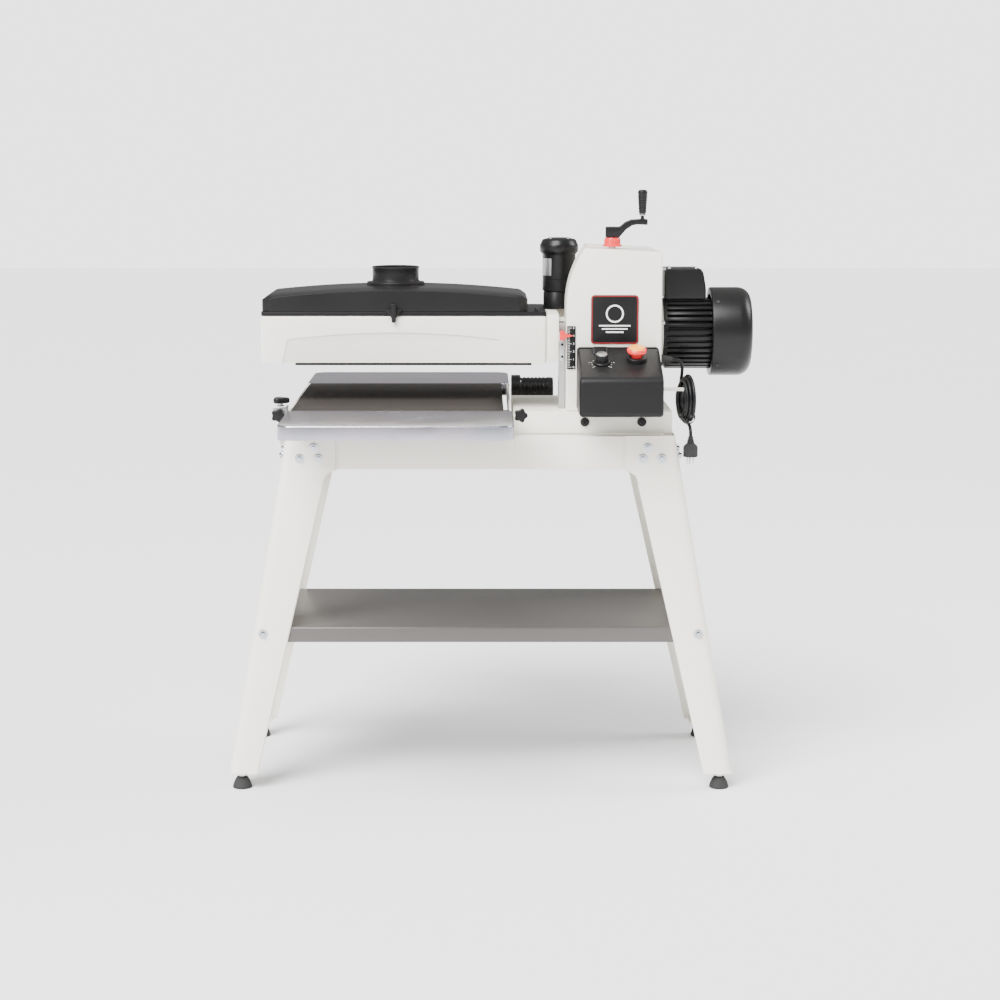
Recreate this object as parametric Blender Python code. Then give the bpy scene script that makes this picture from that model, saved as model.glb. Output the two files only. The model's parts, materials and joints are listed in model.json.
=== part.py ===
"""Open-ended drum sander on a folded steel stand.

World frame: metres, +Z up, origin on the floor under the middle of the machine's outline. The operator
stands at -Y and feeds the work towards +Y; the free end of the sanding head points to -X and the motor to +X.
"""

import math

import bmesh
import bpy
from mathutils import Matrix, Vector

# ---------------------------------------------------------------- driving dimensions (metres)
GAP = 0.0005                     # clearance between touching pieces

# Stand
STAND_X = -0.022                 # middle of the stand
STAND_TOP = 0.733
LEG_BOTTOM = 0.034
LEG_SHEET = 0.0025
LEG_OUTER_TOP = 0.398            # half spread of the legs' outer faces at the top
LEG_SPLAY_X = 0.176              # outward lean of the outer faces, per metre of height
LEG_FRONT_TOP = 0.180            # half depth over the legs at the top
LEG_SPLAY_Y = 0.065
LEG_CHAMFER = 0.018
LEG_INNER_TOP = 0.296            # inner edge of the leg's gusset
LEG_INNER_KNEE = 0.3225          # inner edge where the gusset's curve ends
LEG_KNEE_Z = 0.630
LEG_INNER_SPLAY = 0.2334
APRON_BOTTOM = 0.664
FOOT_X = 0.4955
FOOT_Y = 0.203
FOOT_RADIUS = 0.020
SHELF_TOP = 0.340
SHELF_LIP = 0.032
SHELF_HALF_X = 0.4600
SHELF_HALF_Y = 0.2015

# Base and column
BASE_LEFT = -0.400
BASE_RIGHT = 0.371
BASE_HALF_Y = 0.150
BASE_STEP_X = 0.045              # the base is low under the conveyor and full height to the right of this
BASE_LOW = 0.7480
BASE_TOP = 0.780
WALL = 0.003
COLUMN_LEFT = 0.153
COLUMN_RIGHT = 0.347
COLUMN_TOP_LEFT = 0.190
COLUMN_TOP = 1.112
COLUMN_FALL = 0.008              # the top slopes down by this to the right
COLUMN_CURVE_Z = 0.990
COLUMN_CURVE_POWER = 2.2
COLUMN_NOTCH_X = 0.200           # the rear part of the column starts here
COLUMN_NOTCH_Y = -0.035

# Conveyor
BELT_LEFT = -0.400
BELT_RIGHT = 0.024
BELT_THICK = 0.002
BELT_TOP = 0.7965
ROLLER_RADIUS = 0.0175
ROLLER_Y = 0.240
TABLE_TOP = 0.795
TABLE_LEFT = -0.409
TABLE_RIGHT = 0.042
TABLE_END = 0.510
TABLE_START = 0.263
TABLE_LIP = 0.028
TABLE_CORNER = 0.030
TABLE_SHEET = 0.0016
RAIL_THICK = 0.004
RAIL_HALF_Y = 0.480

# Head
DRUM_Z = 0.9325
DRUM_RADIUS = 0.0627
WRAP_THICK = 0.0008
DRUM_LEFT = -0.400
DRUM_RIGHT = 0.024
SHAFT_RADIUS = 0.0125
ARM_LEFT = -0.4735
ARM_RIGHT = 0.113
ARM_HALF_Y = 0.120
ARM_BOTTOM = 0.877
ARM_TOP = 0.977
COVER_LEFT = -0.4710
COVER_RIGHT = 0.0745
COVER_BOTTOM = 0.9825
COVER_HALF_Y = 0.118
COVER_SHEET = 0.003
PORT_X = -0.200
PORT_RADIUS = 0.0485
PORT_TOP = 1.069
HINGE_Y = 0.1255
HINGE_Z = 0.9900

# Motor
MOTOR_LEFT = 0.3585
MOTOR_BODY_RIGHT = 0.458
MOTOR_RIGHT = 0.5430
MOTOR_RADIUS = 0.078
FAN_COVER_RADIUS = 0.0925

# Height adjustment
SCREW_X = 0.2490
SCREW_Y = -0.075
SCREW_RADIUS = 0.007
DIAL_TOP = 1.1310
CRANK_REACH = 0.0615

# Controls
PANEL_BACK_Y = -0.1510
PANEL_FRONT_Y = -0.300
PANEL_LEFT = 0.174
PANEL_RIGHT = 0.341
PANEL_BOTTOM = 0.785
PANEL_FRONT_TOP = 0.862
PANEL_BACK_TOP = 0.917

# Power cord
CORD_RADIUS = 0.0035
COIL_CENTRE = (0.3990, -0.1290, 0.8030)
COIL_RADIUS = 0.037
COIL_SECTION = 0.0115
COIL_YAW = math.radians(10)
GLAND_AT = (COLUMN_RIGHT, -0.1290, 0.8850)


# ---------------------------------------------------------------- materials
def paint(name, colour, roughness, metallic=0.0):
    """A plain Principled material."""
    made = bpy.data.materials.new(name)
    made.use_nodes = True
    shader = made.node_tree.nodes["Principled BSDF"]
    shader.inputs["Base Color"].default_value = (*colour, 1.0)
    shader.inputs["Roughness"].default_value = roughness
    shader.inputs["Metallic"].default_value = metallic
    return made


def make_paints():
    """The machine's finishes, by name."""
    return {
        "white": paint("white_enamel", (0.86, 0.85, 0.80), 0.45),
        "black": paint("black_plastic", (0.03, 0.03, 0.032), 0.45),
        "black_paint": paint("black_paint", (0.04, 0.04, 0.042), 0.40),
        "shelf": paint("shelf_paint", (0.10, 0.095, 0.09), 0.45),
        "zinc": paint("galvanised", (0.62, 0.66, 0.70), 0.30, 1.0),
        "steel": paint("steel", (0.55, 0.55, 0.56), 0.30, 1.0),
        "cast": paint("cast_alloy", (0.62, 0.61, 0.58), 0.50, 0.6),
        "belt": paint("abrasive_belt", (0.13, 0.12, 0.11), 0.85),
        "wrap": paint("abrasive_wrap", (0.20, 0.07, 0.04), 0.90),
        "rubber": paint("rubber", (0.02, 0.02, 0.02), 0.70),
        "red": paint("red_plastic", (0.75, 0.03, 0.03), 0.35),
    }


# ---------------------------------------------------------------- shape helpers
def clear_scene():
    for old in list(bpy.data.objects):
        bpy.data.objects.remove(old, do_unlink=True)


def body(name, verts, faces, finish, origin=(0, 0, 0), smooth=False):
    """A mesh object whose vertices are given in world places and whose origin is set where it is wanted."""
    mesh = bpy.data.meshes.new(name)
    place = Vector(origin)
    mesh.from_pydata([tuple(Vector(v) - place) for v in verts], [], faces)
    work = bmesh.new()
    work.from_mesh(mesh)
    bmesh.ops.recalc_face_normals(work, faces=work.faces)
    work.to_mesh(mesh)
    work.free()
    if smooth:
        mesh.shade_smooth()
        mesh.set_sharp_from_angle(angle=math.radians(35))
    made = bpy.data.objects.new(name, mesh)
    made.location = place
    mesh.materials.append(finish)
    bpy.context.collection.objects.link(made)
    return made


def on_axis(axis, u, v, along):
    """A point from a flat outline's (u, v) and a place along the outline's normal."""
    return {"x": (along, u, v), "y": (u, along, v), "z": (u, v, along)}[axis]


def prism(name, outline, lo, hi, axis, finish, origin=(0, 0, 0), smooth=False):
    """A straight solid of the given outline."""
    count = len(outline)
    verts = [on_axis(axis, u, v, lo) for u, v in outline]
    verts += [on_axis(axis, u, v, hi) for u, v in outline]
    faces = [list(range(count)), list(range(2 * count - 1, count - 1, -1))]
    for i in range(count):
        j = (i + 1) % count
        faces.append([i, i + count, j + count, j])
    return body(name, verts, faces, finish, origin, smooth)


def block(name, low, high, finish, origin=(0, 0, 0)):
    """A rectangular solid between two corners."""
    outline = [(low[0], low[1]), (high[0], low[1]), (high[0], high[1]), (low[0], high[1])]
    return prism(name, outline, low[2], high[2], "z", finish, origin)


def turned(name, profile, axis, centre, finish, steps=28, smooth=True):
    """A solid of revolution. profile holds (radius, place along the axis) and closes on itself or on the axis."""
    turn = {"x": Matrix.Rotation(math.pi / 2, 3, "Y"), "y": Matrix.Rotation(-math.pi / 2, 3, "X"),
            "z": Matrix.Identity(3)}[axis] if isinstance(axis, str) else axis
    base = Vector(centre)
    verts = []
    rings = []
    for radius, along in profile:
        if radius == 0:
            rings.append([len(verts)])
            verts.append(base + turn @ Vector((0, 0, along)))
            continue
        ring = []
        for k in range(steps):
            angle = 2 * math.pi * k / steps
            ring.append(len(verts))
            verts.append(base + turn @ Vector((radius * math.cos(angle), radius * math.sin(angle),
                along)))
        rings.append(ring)
    closed = profile[0][0] > 0 and profile[-1][0] > 0
    pairs = list(zip(rings, rings[1:]))
    if closed:
        pairs.append((rings[-1], rings[0]))
    faces = []
    for first, second in pairs:
        for k in range(steps):
            n = (k + 1) % steps
            corners = [first[k % len(first)], first[n % len(first)], second[n % len(second)],
                second[k % len(second)]]
            unique = list(dict.fromkeys(corners))
            if len(unique) > 2:
                faces.append(unique)
    return body(name, verts, faces, finish, base, smooth)


def shell(name, verts, faces, thickness, finish):
    """Sheet metal or moulded skin: an open surface facing out, thickened inwards."""
    made = body(name, verts, faces, finish)
    solid = made.modifiers.new("sheet", "SOLIDIFY")
    solid.thickness = thickness
    solid.offset = -1.0
    solid.use_even_offset = True
    return made


def combine(target, tool, operation):
    """Cuts the target with the tool or joins the tool to it, and hides the tool."""
    change = target.modifiers.new(tool.name, "BOOLEAN")
    change.object = tool
    change.operation = operation
    change.solver = "EXACT"
    tool.hide_render = True
    tool.display_type = "WIRE"


def cut(target, *tools):
    for tool in tools:
        combine(target, tool, "DIFFERENCE")


def join(target, *tools):
    for tool in tools:
        combine(target, tool, "UNION")


def use_manifold(target):
    """Long thin facets that meet many others: the manifold solver keeps them closed."""
    for change in target.modifiers:
        if change.type == "BOOLEAN":
            change.solver = "MANIFOLD"


def pivot(name, place):
    """An empty on a joint's axis."""
    made = bpy.data.objects.new(name, None)
    made.location = place
    made.empty_display_size = 0.03
    bpy.context.collection.objects.link(made)
    return made


def hang(parent, *children):
    """Parents pieces to a pivot without moving them."""
    for child in children:
        child.parent = parent
        child.location = child.location - Vector(parent.location)


def arc(centre, radius, start, end, count):
    """Points on a circular arc, angles in degrees."""
    return [(centre[0] + radius * math.cos(math.radians(start + (end - start) * i / count)),
             centre[1] + radius * math.sin(math.radians(start + (end - start) * i / count)))
            for i in range(count + 1)]


# ---------------------------------------------------------------- stand
def leg_outer_x(z):
    return LEG_OUTER_TOP + (STAND_TOP - z) * LEG_SPLAY_X


def leg_front_y(z):
    return LEG_FRONT_TOP + (STAND_TOP - z) * LEG_SPLAY_Y


def leg_inner_x(z):
    """Inner edge of the leg's broad face: a straight taper that runs out into a gusset along the apron."""
    if z >= APRON_BOTTOM:
        return LEG_INNER_TOP
    if z > LEG_KNEE_Z:
        rise = (z - LEG_KNEE_Z) / (APRON_BOTTOM - LEG_KNEE_Z)
        return LEG_INNER_KNEE - (LEG_INNER_KNEE - LEG_INNER_TOP) * (1 - math.sqrt(1 - rise * rise))
    return LEG_INNER_KNEE + (LEG_KNEE_Z - z) * LEG_INNER_SPLAY


def make_leg(name, side, face, finish):
    """One folded leg. side is -1 or 1 along X, face is -1 at the operator's side and 1 at the rear."""
    heights = [LEG_BOTTOM, 0.33, LEG_KNEE_Z]
    heights += [LEG_KNEE_Z + (APRON_BOTTOM - LEG_KNEE_Z) * step for step in (0.4, 0.7, 0.9, 0.98)]
    heights += [APRON_BOTTOM, STAND_TOP]
    verts = []
    for z in heights:
        outer = leg_outer_x(z)
        front = leg_front_y(z)
        flank = front - 0.045 - 0.06 * z
        for x, y in ((leg_inner_x(z), front), (outer - LEG_CHAMFER, front), (outer, front - LEG_CHAMFER),
            (outer, flank)):
            verts.append((STAND_X + side * x, face * y, z))
    faces = []
    for row in range(len(heights) - 1):
        for column in range(3):
            a = 4 * row + column
            quad = [a, a + 1, a + 5, a + 4]
            faces.append(quad)
    leg = shell(name, verts, faces, LEG_SHEET, finish)
    outward = Vector((0, face, 0))
    face_normal = leg.data.polygons[0].normal
    if face_normal.dot(outward) < 0:
        leg.data.flip_normals()
    pad_x = sorted((STAND_X + side * 0.4700, STAND_X + side * 0.5200))
    pad_y = sorted((face * 0.1820, face * 0.2240))
    plate = block(name + "_sole", (pad_x[0], pad_y[0], LEG_BOTTOM + 0.0005), (pad_x[1], pad_y[1],
        LEG_BOTTOM + 0.0045), finish)
    join(leg, plate)
    hole = turned(name + "_hole", [(0, -0.02), (0.0058, -0.02), (0.0058, 0.02), (0, 0.02)], "z",
                  (STAND_X + side * FOOT_X, face * FOOT_Y, LEG_BOTTOM), finish, 16)
    cut(leg, hole)
    return leg


def make_foot(name, side, face, finish):
    """Levelling foot: a rubber dome on a threaded stem."""
    profile = [(0, 0), (FOOT_RADIUS, 0), (FOOT_RADIUS, 0.004), (0.0165, 0.014), (0.0120, 0.0215),
        (0.0095, 0.0235),
               (0.0095, 0.0325), (0.0050, 0.0325), (0.0050, 0.058), (0, 0.058)]
    return turned(name, profile, "z", (STAND_X + side * FOOT_X, face * FOOT_Y, 0), finish, 24)


def channel(name, along, web, lo, hi, flange, finish):
    """A C-shaped apron. along is 'x' or 'y', web is the outer face's place on the other axis."""
    inward = -1 if web > 0 else 1
    sheet = LEG_SHEET
    top = STAND_TOP - GAP
    low = APRON_BOTTOM
    tip = web + inward * flange
    short = web + inward * 0.014
    inner = web + inward * sheet
    outline = [(web, low), (short, low), (short, low + sheet), (inner, low + sheet), (inner, top - sheet),
               (tip, top - sheet), (tip, top), (web, top)]
    if along == "y":
        outline = [(u + STAND_X, v) for u, v in outline]
        return prism(name, outline, lo, hi, "y", finish)
    return prism(name, outline, STAND_X + lo, STAND_X + hi, "x", finish)


def make_stand(paints):
    white = paints["white"]
    for side, across in ((-1, "left"), (1, "right")):
        for face, along in ((-1, "front"), (1, "rear")):
            make_leg(f"leg_{along}_{across}", side, face, white)
            make_foot(f"foot_{along}_{across}", side, face, paints["rubber"])
    apron_y = LEG_FRONT_TOP - LEG_SHEET - GAP
    channel("apron_front", "x", -apron_y, -0.372, 0.372, 0.032, white)
    channel("apron_rear", "x", apron_y, -0.372, 0.372, 0.032, white)
    apron_x = LEG_OUTER_TOP - LEG_SHEET - 2 * GAP
    channel("apron_left", "y", -apron_x, -0.143, 0.143, 0.020, white)
    channel("apron_right", "y", apron_x, -0.143, 0.143, 0.020, white)
    corner = 0.024
    half_x = SHELF_HALF_X
    half_y = SHELF_HALF_Y
    ring = [(-half_x + corner, -half_y), (half_x - corner, -half_y), (half_x, -half_y + corner),
        (half_x, half_y - corner),
            (half_x - corner, half_y), (-half_x + corner, half_y), (-half_x, half_y - corner), (-half_x,
                -half_y + corner)]
    count = len(ring)
    verts = [(STAND_X + x, y, SHELF_TOP) for x, y in ring] + [(STAND_X + x, y,
        SHELF_TOP - SHELF_LIP) for x, y in ring]
    faces = [list(range(count))]
    faces += [[i, i + count, (i + 1) % count + count, (i + 1) % count] for i in range(count)]
    shell("stand_shelf", verts, faces, 0.0015, paints["shelf"])


# ---------------------------------------------------------------- base and column
def column_outline(inset, left, bottom, curved):
    """Front outline of the column housing, drawn in by inset."""
    right_top = COLUMN_TOP - COLUMN_FALL - inset
    points = [(COLUMN_RIGHT - inset, bottom), (COLUMN_RIGHT - inset, right_top)]
    if not curved:
        top_left = right_top + COLUMN_FALL * (COLUMN_RIGHT - left) / (COLUMN_RIGHT - COLUMN_TOP_LEFT)
        return points + [(left + inset, top_left), (left + inset, bottom)]
    sweep = 9
    for i in range(sweep + 1):
        share = 1 - i / sweep
        x = left + (COLUMN_TOP_LEFT - left) * share ** COLUMN_CURVE_POWER
        z = COLUMN_CURVE_Z + (COLUMN_TOP - COLUMN_CURVE_Z) * share
        points.append((x + inset, z - inset * share))
    return points + [(left + inset, bottom)]


def make_base(paints):
    white = paints["white"]
    under = STAND_TOP + 0.0015
    outline = [(BASE_LEFT, under), (BASE_RIGHT, under), (BASE_RIGHT, BASE_TOP), (BASE_STEP_X, BASE_TOP),
        (BASE_STEP_X, BASE_LOW),
               (BASE_LEFT, BASE_LOW)]
    base = prism("machine_base", outline, -BASE_HALF_Y, BASE_HALF_Y, "y", white)
    hollow_outline = [(BASE_LEFT + WALL, under - 0.01), (BASE_RIGHT - WALL, under - 0.01),
        (BASE_RIGHT - WALL, BASE_TOP - WALL),
                      (BASE_STEP_X + WALL, BASE_TOP - WALL), (BASE_STEP_X + WALL, BASE_LOW - WALL),
                          (BASE_LEFT + WALL, BASE_LOW - WALL)]
    hollow = prism("base_hollow", hollow_outline, -BASE_HALF_Y + WALL, BASE_HALF_Y - WALL, "y", white)
    cut(base, hollow)

    foot = BASE_TOP + GAP
    column = prism("column_housing", column_outline(0, COLUMN_LEFT, foot, True), -BASE_HALF_Y,
        COLUMN_NOTCH_Y, "y", white)
    rear = prism("column_rear", column_outline(0, COLUMN_NOTCH_X, foot, False), COLUMN_NOTCH_Y - 0.02,
        BASE_HALF_Y, "y", white)
    for vertex in rear.data.vertices:
        vertex.co.z -= 0.0010 if vertex.co.z > 1.0 else 0.0
    join(column, rear)
    inner_front = prism("column_hollow_front", column_outline(WALL, COLUMN_LEFT, foot - 0.01, True),
                        -BASE_HALF_Y + WALL, COLUMN_NOTCH_Y - WALL, "y", white)
    inner_rear = prism("column_hollow_rear", column_outline(WALL, COLUMN_NOTCH_X, foot - 0.01, False),
                       COLUMN_NOTCH_Y - 0.02, BASE_HALF_Y - WALL, "y", white)
    for vertex in inner_rear.data.vertices:
        vertex.co.z -= 0.0015 if vertex.co.z > 1.0 else 0.0
    slot_low = 0.795
    slot_high = 0.985
    slot = block("spindle_slot", (COLUMN_NOTCH_X - 0.01, -0.0340 + 0.0005, slot_low),
        (COLUMN_RIGHT + 0.01, 0.0345, slot_high), white)
    screw_hole = turned("screw_hole", [(0, 1.05), (0.0085, 1.05), (0.0085, 1.15), (0, 1.15)], "z",
        (SCREW_X, SCREW_Y, 0), white, 20)
    cut(column, inner_front, inner_rear, slot, screw_hole)
    peg = COIL_CENTRE[2] + COIL_RADIUS - COIL_SECTION - 0.0045
    hook_outline = [(COLUMN_RIGHT - 0.001, peg - 0.003), (0.4150, peg - 0.003), (0.4150, peg + 0.014),
        (0.4120, peg + 0.014),
                    (0.4120, peg + 0.003), (COLUMN_RIGHT - 0.001, peg + 0.003)]
    hook = prism("cord_hook", hook_outline, COIL_CENTRE[1] - 0.006, COIL_CENTRE[1] + 0.006, "y", white)
    join(column, hook)

    block("guide_rail", (0.1395, -0.100, BASE_TOP + GAP), (0.1520, -0.060, 0.958), paints["steel"])
    block("badge_plate", (0.2025, -BASE_HALF_Y - 0.0025, 0.9185), (0.2995, -BASE_HALF_Y - GAP, 1.0180),
        paints["black"])
    block("depth_scale", (0.1540, -BASE_HALF_Y - 0.0020, 0.8670), (0.1715, -BASE_HALF_Y - GAP, 0.9550),
        paints["black"])


# ---------------------------------------------------------------- height adjustment
def make_crank(paints):
    axis = pivot("crank_axis", (SCREW_X, SCREW_Y, DIAL_TOP))
    screw_profile = [(0, 0.7840), (SCREW_RADIUS, 0.7840), (SCREW_RADIUS, DIAL_TOP), (0, DIAL_TOP)]
    screw = turned("lead_screw", screw_profile, "z", (SCREW_X, SCREW_Y, 0), paints["steel"], 16)
    dial_profile = [(0.0076, 1.1130), (0.0195, 1.1130), (0.0195, 1.1150), (0.0165, 1.1200),
        (0.0160, DIAL_TOP - 0.0020),
                    (0.0150, DIAL_TOP), (0.0076, DIAL_TOP)]
    dial = turned("depth_dial", dial_profile, "z", (SCREW_X, SCREW_Y, 0), paints["red"], 24)
    reach = SCREW_X + CRANK_REACH
    hub = 0.0140
    top = [(SCREW_X - hub, DIAL_TOP + GAP), (SCREW_X + hub, DIAL_TOP + GAP),
           (SCREW_X + hub + 0.004, 1.1365), (SCREW_X + 0.028, 1.1480),
           (SCREW_X + 0.040, 1.1560), (reach - 0.011, 1.1580), (reach + 0.0105, 1.1570), (reach + 0.0105,
               1.1690),
           (reach - 0.008, 1.1690), (SCREW_X + 0.038, 1.1680), (SCREW_X + 0.026, 1.1630),
               (SCREW_X + hub + 0.001, 1.1535),
           (SCREW_X - hub, 1.1535)]
    arm = prism("crank_arm", top, SCREW_Y - 0.0105, SCREW_Y + 0.0105, "y", paints["black"],
        (SCREW_X, SCREW_Y, DIAL_TOP))
    pin = turned("crank_pin", [(0, 1.1650), (0.0040, 1.1650), (0.0040, 1.1760), (0, 1.1760)], "z",
        (reach, SCREW_Y, 0), paints["steel"], 12)
    join(arm, pin)
    grip_axis = pivot("grip_axis", (reach, SCREW_Y, 1.1765))
    grip_profile = [(0, 1.1765), (0.0070, 1.1765), (0.0074, 1.1850), (0.0094, 1.2150), (0.0100, 1.2260),
        (0.0086, 1.2290), (0, 1.2290)]
    grip = turned("crank_grip", grip_profile, "z", (reach, SCREW_Y, 0), paints["black"], 20)
    hang(axis, screw, dial, arm)
    hang(grip_axis, grip)


# ---------------------------------------------------------------- conveyor
def make_roller(name, y, z, radius, left, right, stub, finish):
    """A plain roller between two thin end stubs."""
    profile = [(0, left - stub), (0.0050, left - stub), (0.0050, left), (radius, left), (radius, right),
        (0.0050, right),
               (0.0050, right + stub), (0, right + stub)]
    return turned(name, profile, "x", (0, y, z), finish, 24)


def make_rail(name, inner, outer, paints):
    """Conveyor side rail with a hole for each roller's stub."""
    rail = block(name, (inner, -RAIL_HALF_Y, BASE_LOW + GAP), (outer, RAIL_HALF_Y,
        TABLE_TOP - TABLE_SHEET - GAP), paints["white"])
    for at, y in (("a", -ROLLER_Y), ("b", ROLLER_Y)):
        hole = turned(f"{name}_hole_{at}", [(0, inner - 0.01), (0.0055, inner - 0.01),
            (0.0055, outer + 0.01), (0, outer + 0.01)], "x",
                      (0, y, roller_axis_z()), paints["white"], 16)
        cut(rail, hole)


def roller_axis_z():
    return BELT_TOP - BELT_THICK - ROLLER_RADIUS


def make_belt(paints):
    """The endless belt: a long loop round both rollers."""
    axis_z = roller_axis_z()
    outer = ROLLER_RADIUS + BELT_THICK
    inner = ROLLER_RADIUS + 0.0008
    steps = 8
    outside = arc((ROLLER_Y, axis_z), outer, -90, 90, steps) + arc((-ROLLER_Y, axis_z), outer, 90, 270,
        steps)
    inside = arc((ROLLER_Y, axis_z), inner, -90, 90, steps) + arc((-ROLLER_Y, axis_z), inner, 90, 270,
        steps)
    belt = prism("conveyor_belt", outside, BELT_LEFT, BELT_RIGHT, "x", paints["belt"])
    core = prism("belt_core", inside, BELT_LEFT - 0.01, BELT_RIGHT + 0.01, "x", paints["belt"])
    cut(belt, core)


def make_table(name, face, paints):
    """Infeed or outfeed table: a pressed tray with its lip down and its outer corners rounded."""
    radius = TABLE_CORNER
    end = TABLE_END
    ring = [(TABLE_RIGHT, TABLE_START)]
    ring += arc((TABLE_RIGHT - radius, end - radius), radius, 0, 90, 6)
    ring += arc((TABLE_LEFT + radius, end - radius), radius, 90, 180, 6)
    ring += [(TABLE_LEFT, TABLE_START)]
    count = len(ring)
    verts = [(x, face * y, TABLE_TOP) for x, y in ring] + [(x, face * y, TABLE_TOP - TABLE_LIP) for x,
        y in ring]
    faces = [list(range(count))]
    faces += [[i, i + count, i + 1 + count, i + 1] for i in range(count - 1)]
    table = shell(name, verts, faces, TABLE_SHEET, paints["zinc"])
    if table.data.polygons[0].normal.z < 0:
        table.data.flip_normals()


def make_conveyor(paints):
    rail_gap = 0.0018
    make_rail("conveyor_rail_left", TABLE_LEFT + rail_gap + 0.0002, TABLE_LEFT + rail_gap + RAIL_THICK,
        paints)
    make_rail("conveyor_rail_right", TABLE_RIGHT - rail_gap - RAIL_THICK,
        TABLE_RIGHT - rail_gap - 0.0002, paints)
    make_belt(paints)
    make_table("infeed_table", -1, paints)
    make_table("outfeed_table", 1, paints)
    bed_low = BELT_TOP - BELT_THICK - GAP - 0.008
    block("conveyor_bed", (BELT_LEFT + 0.002, -0.2180, bed_low), (BELT_RIGHT - 0.002, 0.2180,
        BELT_TOP - BELT_THICK - GAP), paints["cast"])
    axis_z = roller_axis_z()
    drive_axis = pivot("drive_axis", (0, ROLLER_Y, axis_z))
    idler_axis = pivot("idler_axis", (0, -ROLLER_Y, axis_z))
    drive = make_roller("drive_roller", ROLLER_Y, axis_z, ROLLER_RADIUS, BELT_LEFT + 0.003,
        BELT_RIGHT - 0.003, 0.0135, paints["rubber"])
    idler = make_roller("idler_roller", -ROLLER_Y, axis_z, ROLLER_RADIUS, BELT_LEFT + 0.003,
        BELT_RIGHT - 0.003, 0.0120, paints["steel"])
    hang(drive_axis, drive)
    hang(idler_axis, idler)
    start = TABLE_RIGHT + 0.0040
    motor_profile = [(0.0065, start), (0.0345, start), (0.0350, start + 0.003), (0.0350, start + 0.020),
        (0.0300, start + 0.022),
                     (0.0300, start + 0.090), (0.0285, start + 0.093), (0, start + 0.093), (0,
                         start + 0.012), (0.0065, start + 0.012)]
    turned("conveyor_gearmotor", motor_profile, "x", (0, ROLLER_Y, axis_z + 0.0035),
        paints["black_paint"], 28)


def make_knob(name, place, axis, radius, length, lobes, finish):
    """A lobed hand knob along an axis, its front end at the far side."""
    outline = []
    steps = lobes * 6
    for k in range(steps):
        angle = 2 * math.pi * k / steps
        swell = radius * (0.88 + 0.12 * math.cos(lobes * angle))
        outline.append((swell * math.cos(angle), swell * math.sin(angle)))
    sideways = {"x": 0, "y": 1, "z": 2}[axis]
    flat = [i for i in range(3) if i != sideways]
    shifted = [(u + place[flat[0]], v + place[flat[1]]) for u, v in outline]
    return prism(name, shifted, place[sideways], place[sideways] + length, axis, finish, place, True)


def make_tension(paints):
    """Belt tension screws on both ends of the idler roller."""
    axis_z = roller_axis_z() + 0.010
    left_x = TABLE_LEFT - 0.0175
    right_x = TABLE_RIGHT + 0.0150
    knob_y = -ROLLER_Y - 0.045
    bracket_outline = [(TABLE_LEFT - GAP, -0.255), (TABLE_LEFT - GAP, -0.215), (TABLE_LEFT - 0.0040,
        -0.215),
                       (TABLE_LEFT - 0.0040, -0.2500), (left_x - 0.012, -0.2500), (left_x - 0.012,
                           -0.255)]
    bracket = prism("tension_bracket", bracket_outline, axis_z - 0.014, axis_z + 0.014, "z",
        paints["steel"])
    hole = turned("tension_hole", [(0, -0.27), (0.0052, -0.27), (0.0052, -0.24), (0, -0.24)], "y",
        (left_x, 0, axis_z), paints["steel"], 16)
    cut(bracket, hole)
    for name, x in (("tension_knob_left", left_x), ("tension_knob_right", right_x)):
        axis = pivot(name + "_axis", (x, knob_y, axis_z))
        knob = make_knob(name, (x, knob_y, axis_z), "y", 0.0140, 0.0180, 5, paints["black"])
        stem = turned(name + "_stem", [(0, 0.016), (0.0040, 0.016), (0.0040, 0.062), (0, 0.062)], "y",
            (x, knob_y, axis_z),
                      paints["steel"], 14)
        join(knob, stem)
        hang(axis, knob)


# ---------------------------------------------------------------- head
def make_arm(paints):
    """The arm's sheet-steel casing: open below for the drum and above for the dust cover."""
    arm = block("arm_casing", (ARM_LEFT, -ARM_HALF_Y, ARM_BOTTOM), (ARM_RIGHT, ARM_HALF_Y, ARM_TOP),
        paints["white"])
    chamber = block("arm_chamber", (ARM_LEFT + WALL, -ARM_HALF_Y + WALL, ARM_BOTTOM - 0.01),
                    (ARM_RIGHT - WALL, ARM_HALF_Y - WALL, ARM_TOP - WALL), paints["white"])
    window = block("arm_window", (COVER_LEFT + 0.020, -0.090, ARM_TOP - 0.01), (COVER_RIGHT - 0.020,
        0.090, ARM_TOP + 0.01), paints["white"])
    spindle = turned("arm_spindle_hole", [(0, 0.09), (0.0330, 0.09), (0.0330, 0.13), (0, 0.13)], "x",
        (0, 0, DRUM_Z), paints["white"], 24)
    cut(arm, chamber, window, spindle)
    bearing = [(0.0130, ARM_LEFT + WALL + GAP), (0.0300, ARM_LEFT + WALL + GAP),
        (0.0300, ARM_LEFT + 0.022), (0.0130, ARM_LEFT + 0.022)]
    turned("outboard_bearing", bearing, "x", (0, 0, DRUM_Z), paints["cast"], 24)
    inboard = [(0.0130, 0.1165), (0.0240, 0.1165), (0.0240, 0.1315), (0.0130, 0.1315)]
    turned("inboard_bearing", inboard, "x", (0, 0, DRUM_Z), paints["steel"], 24)


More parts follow.
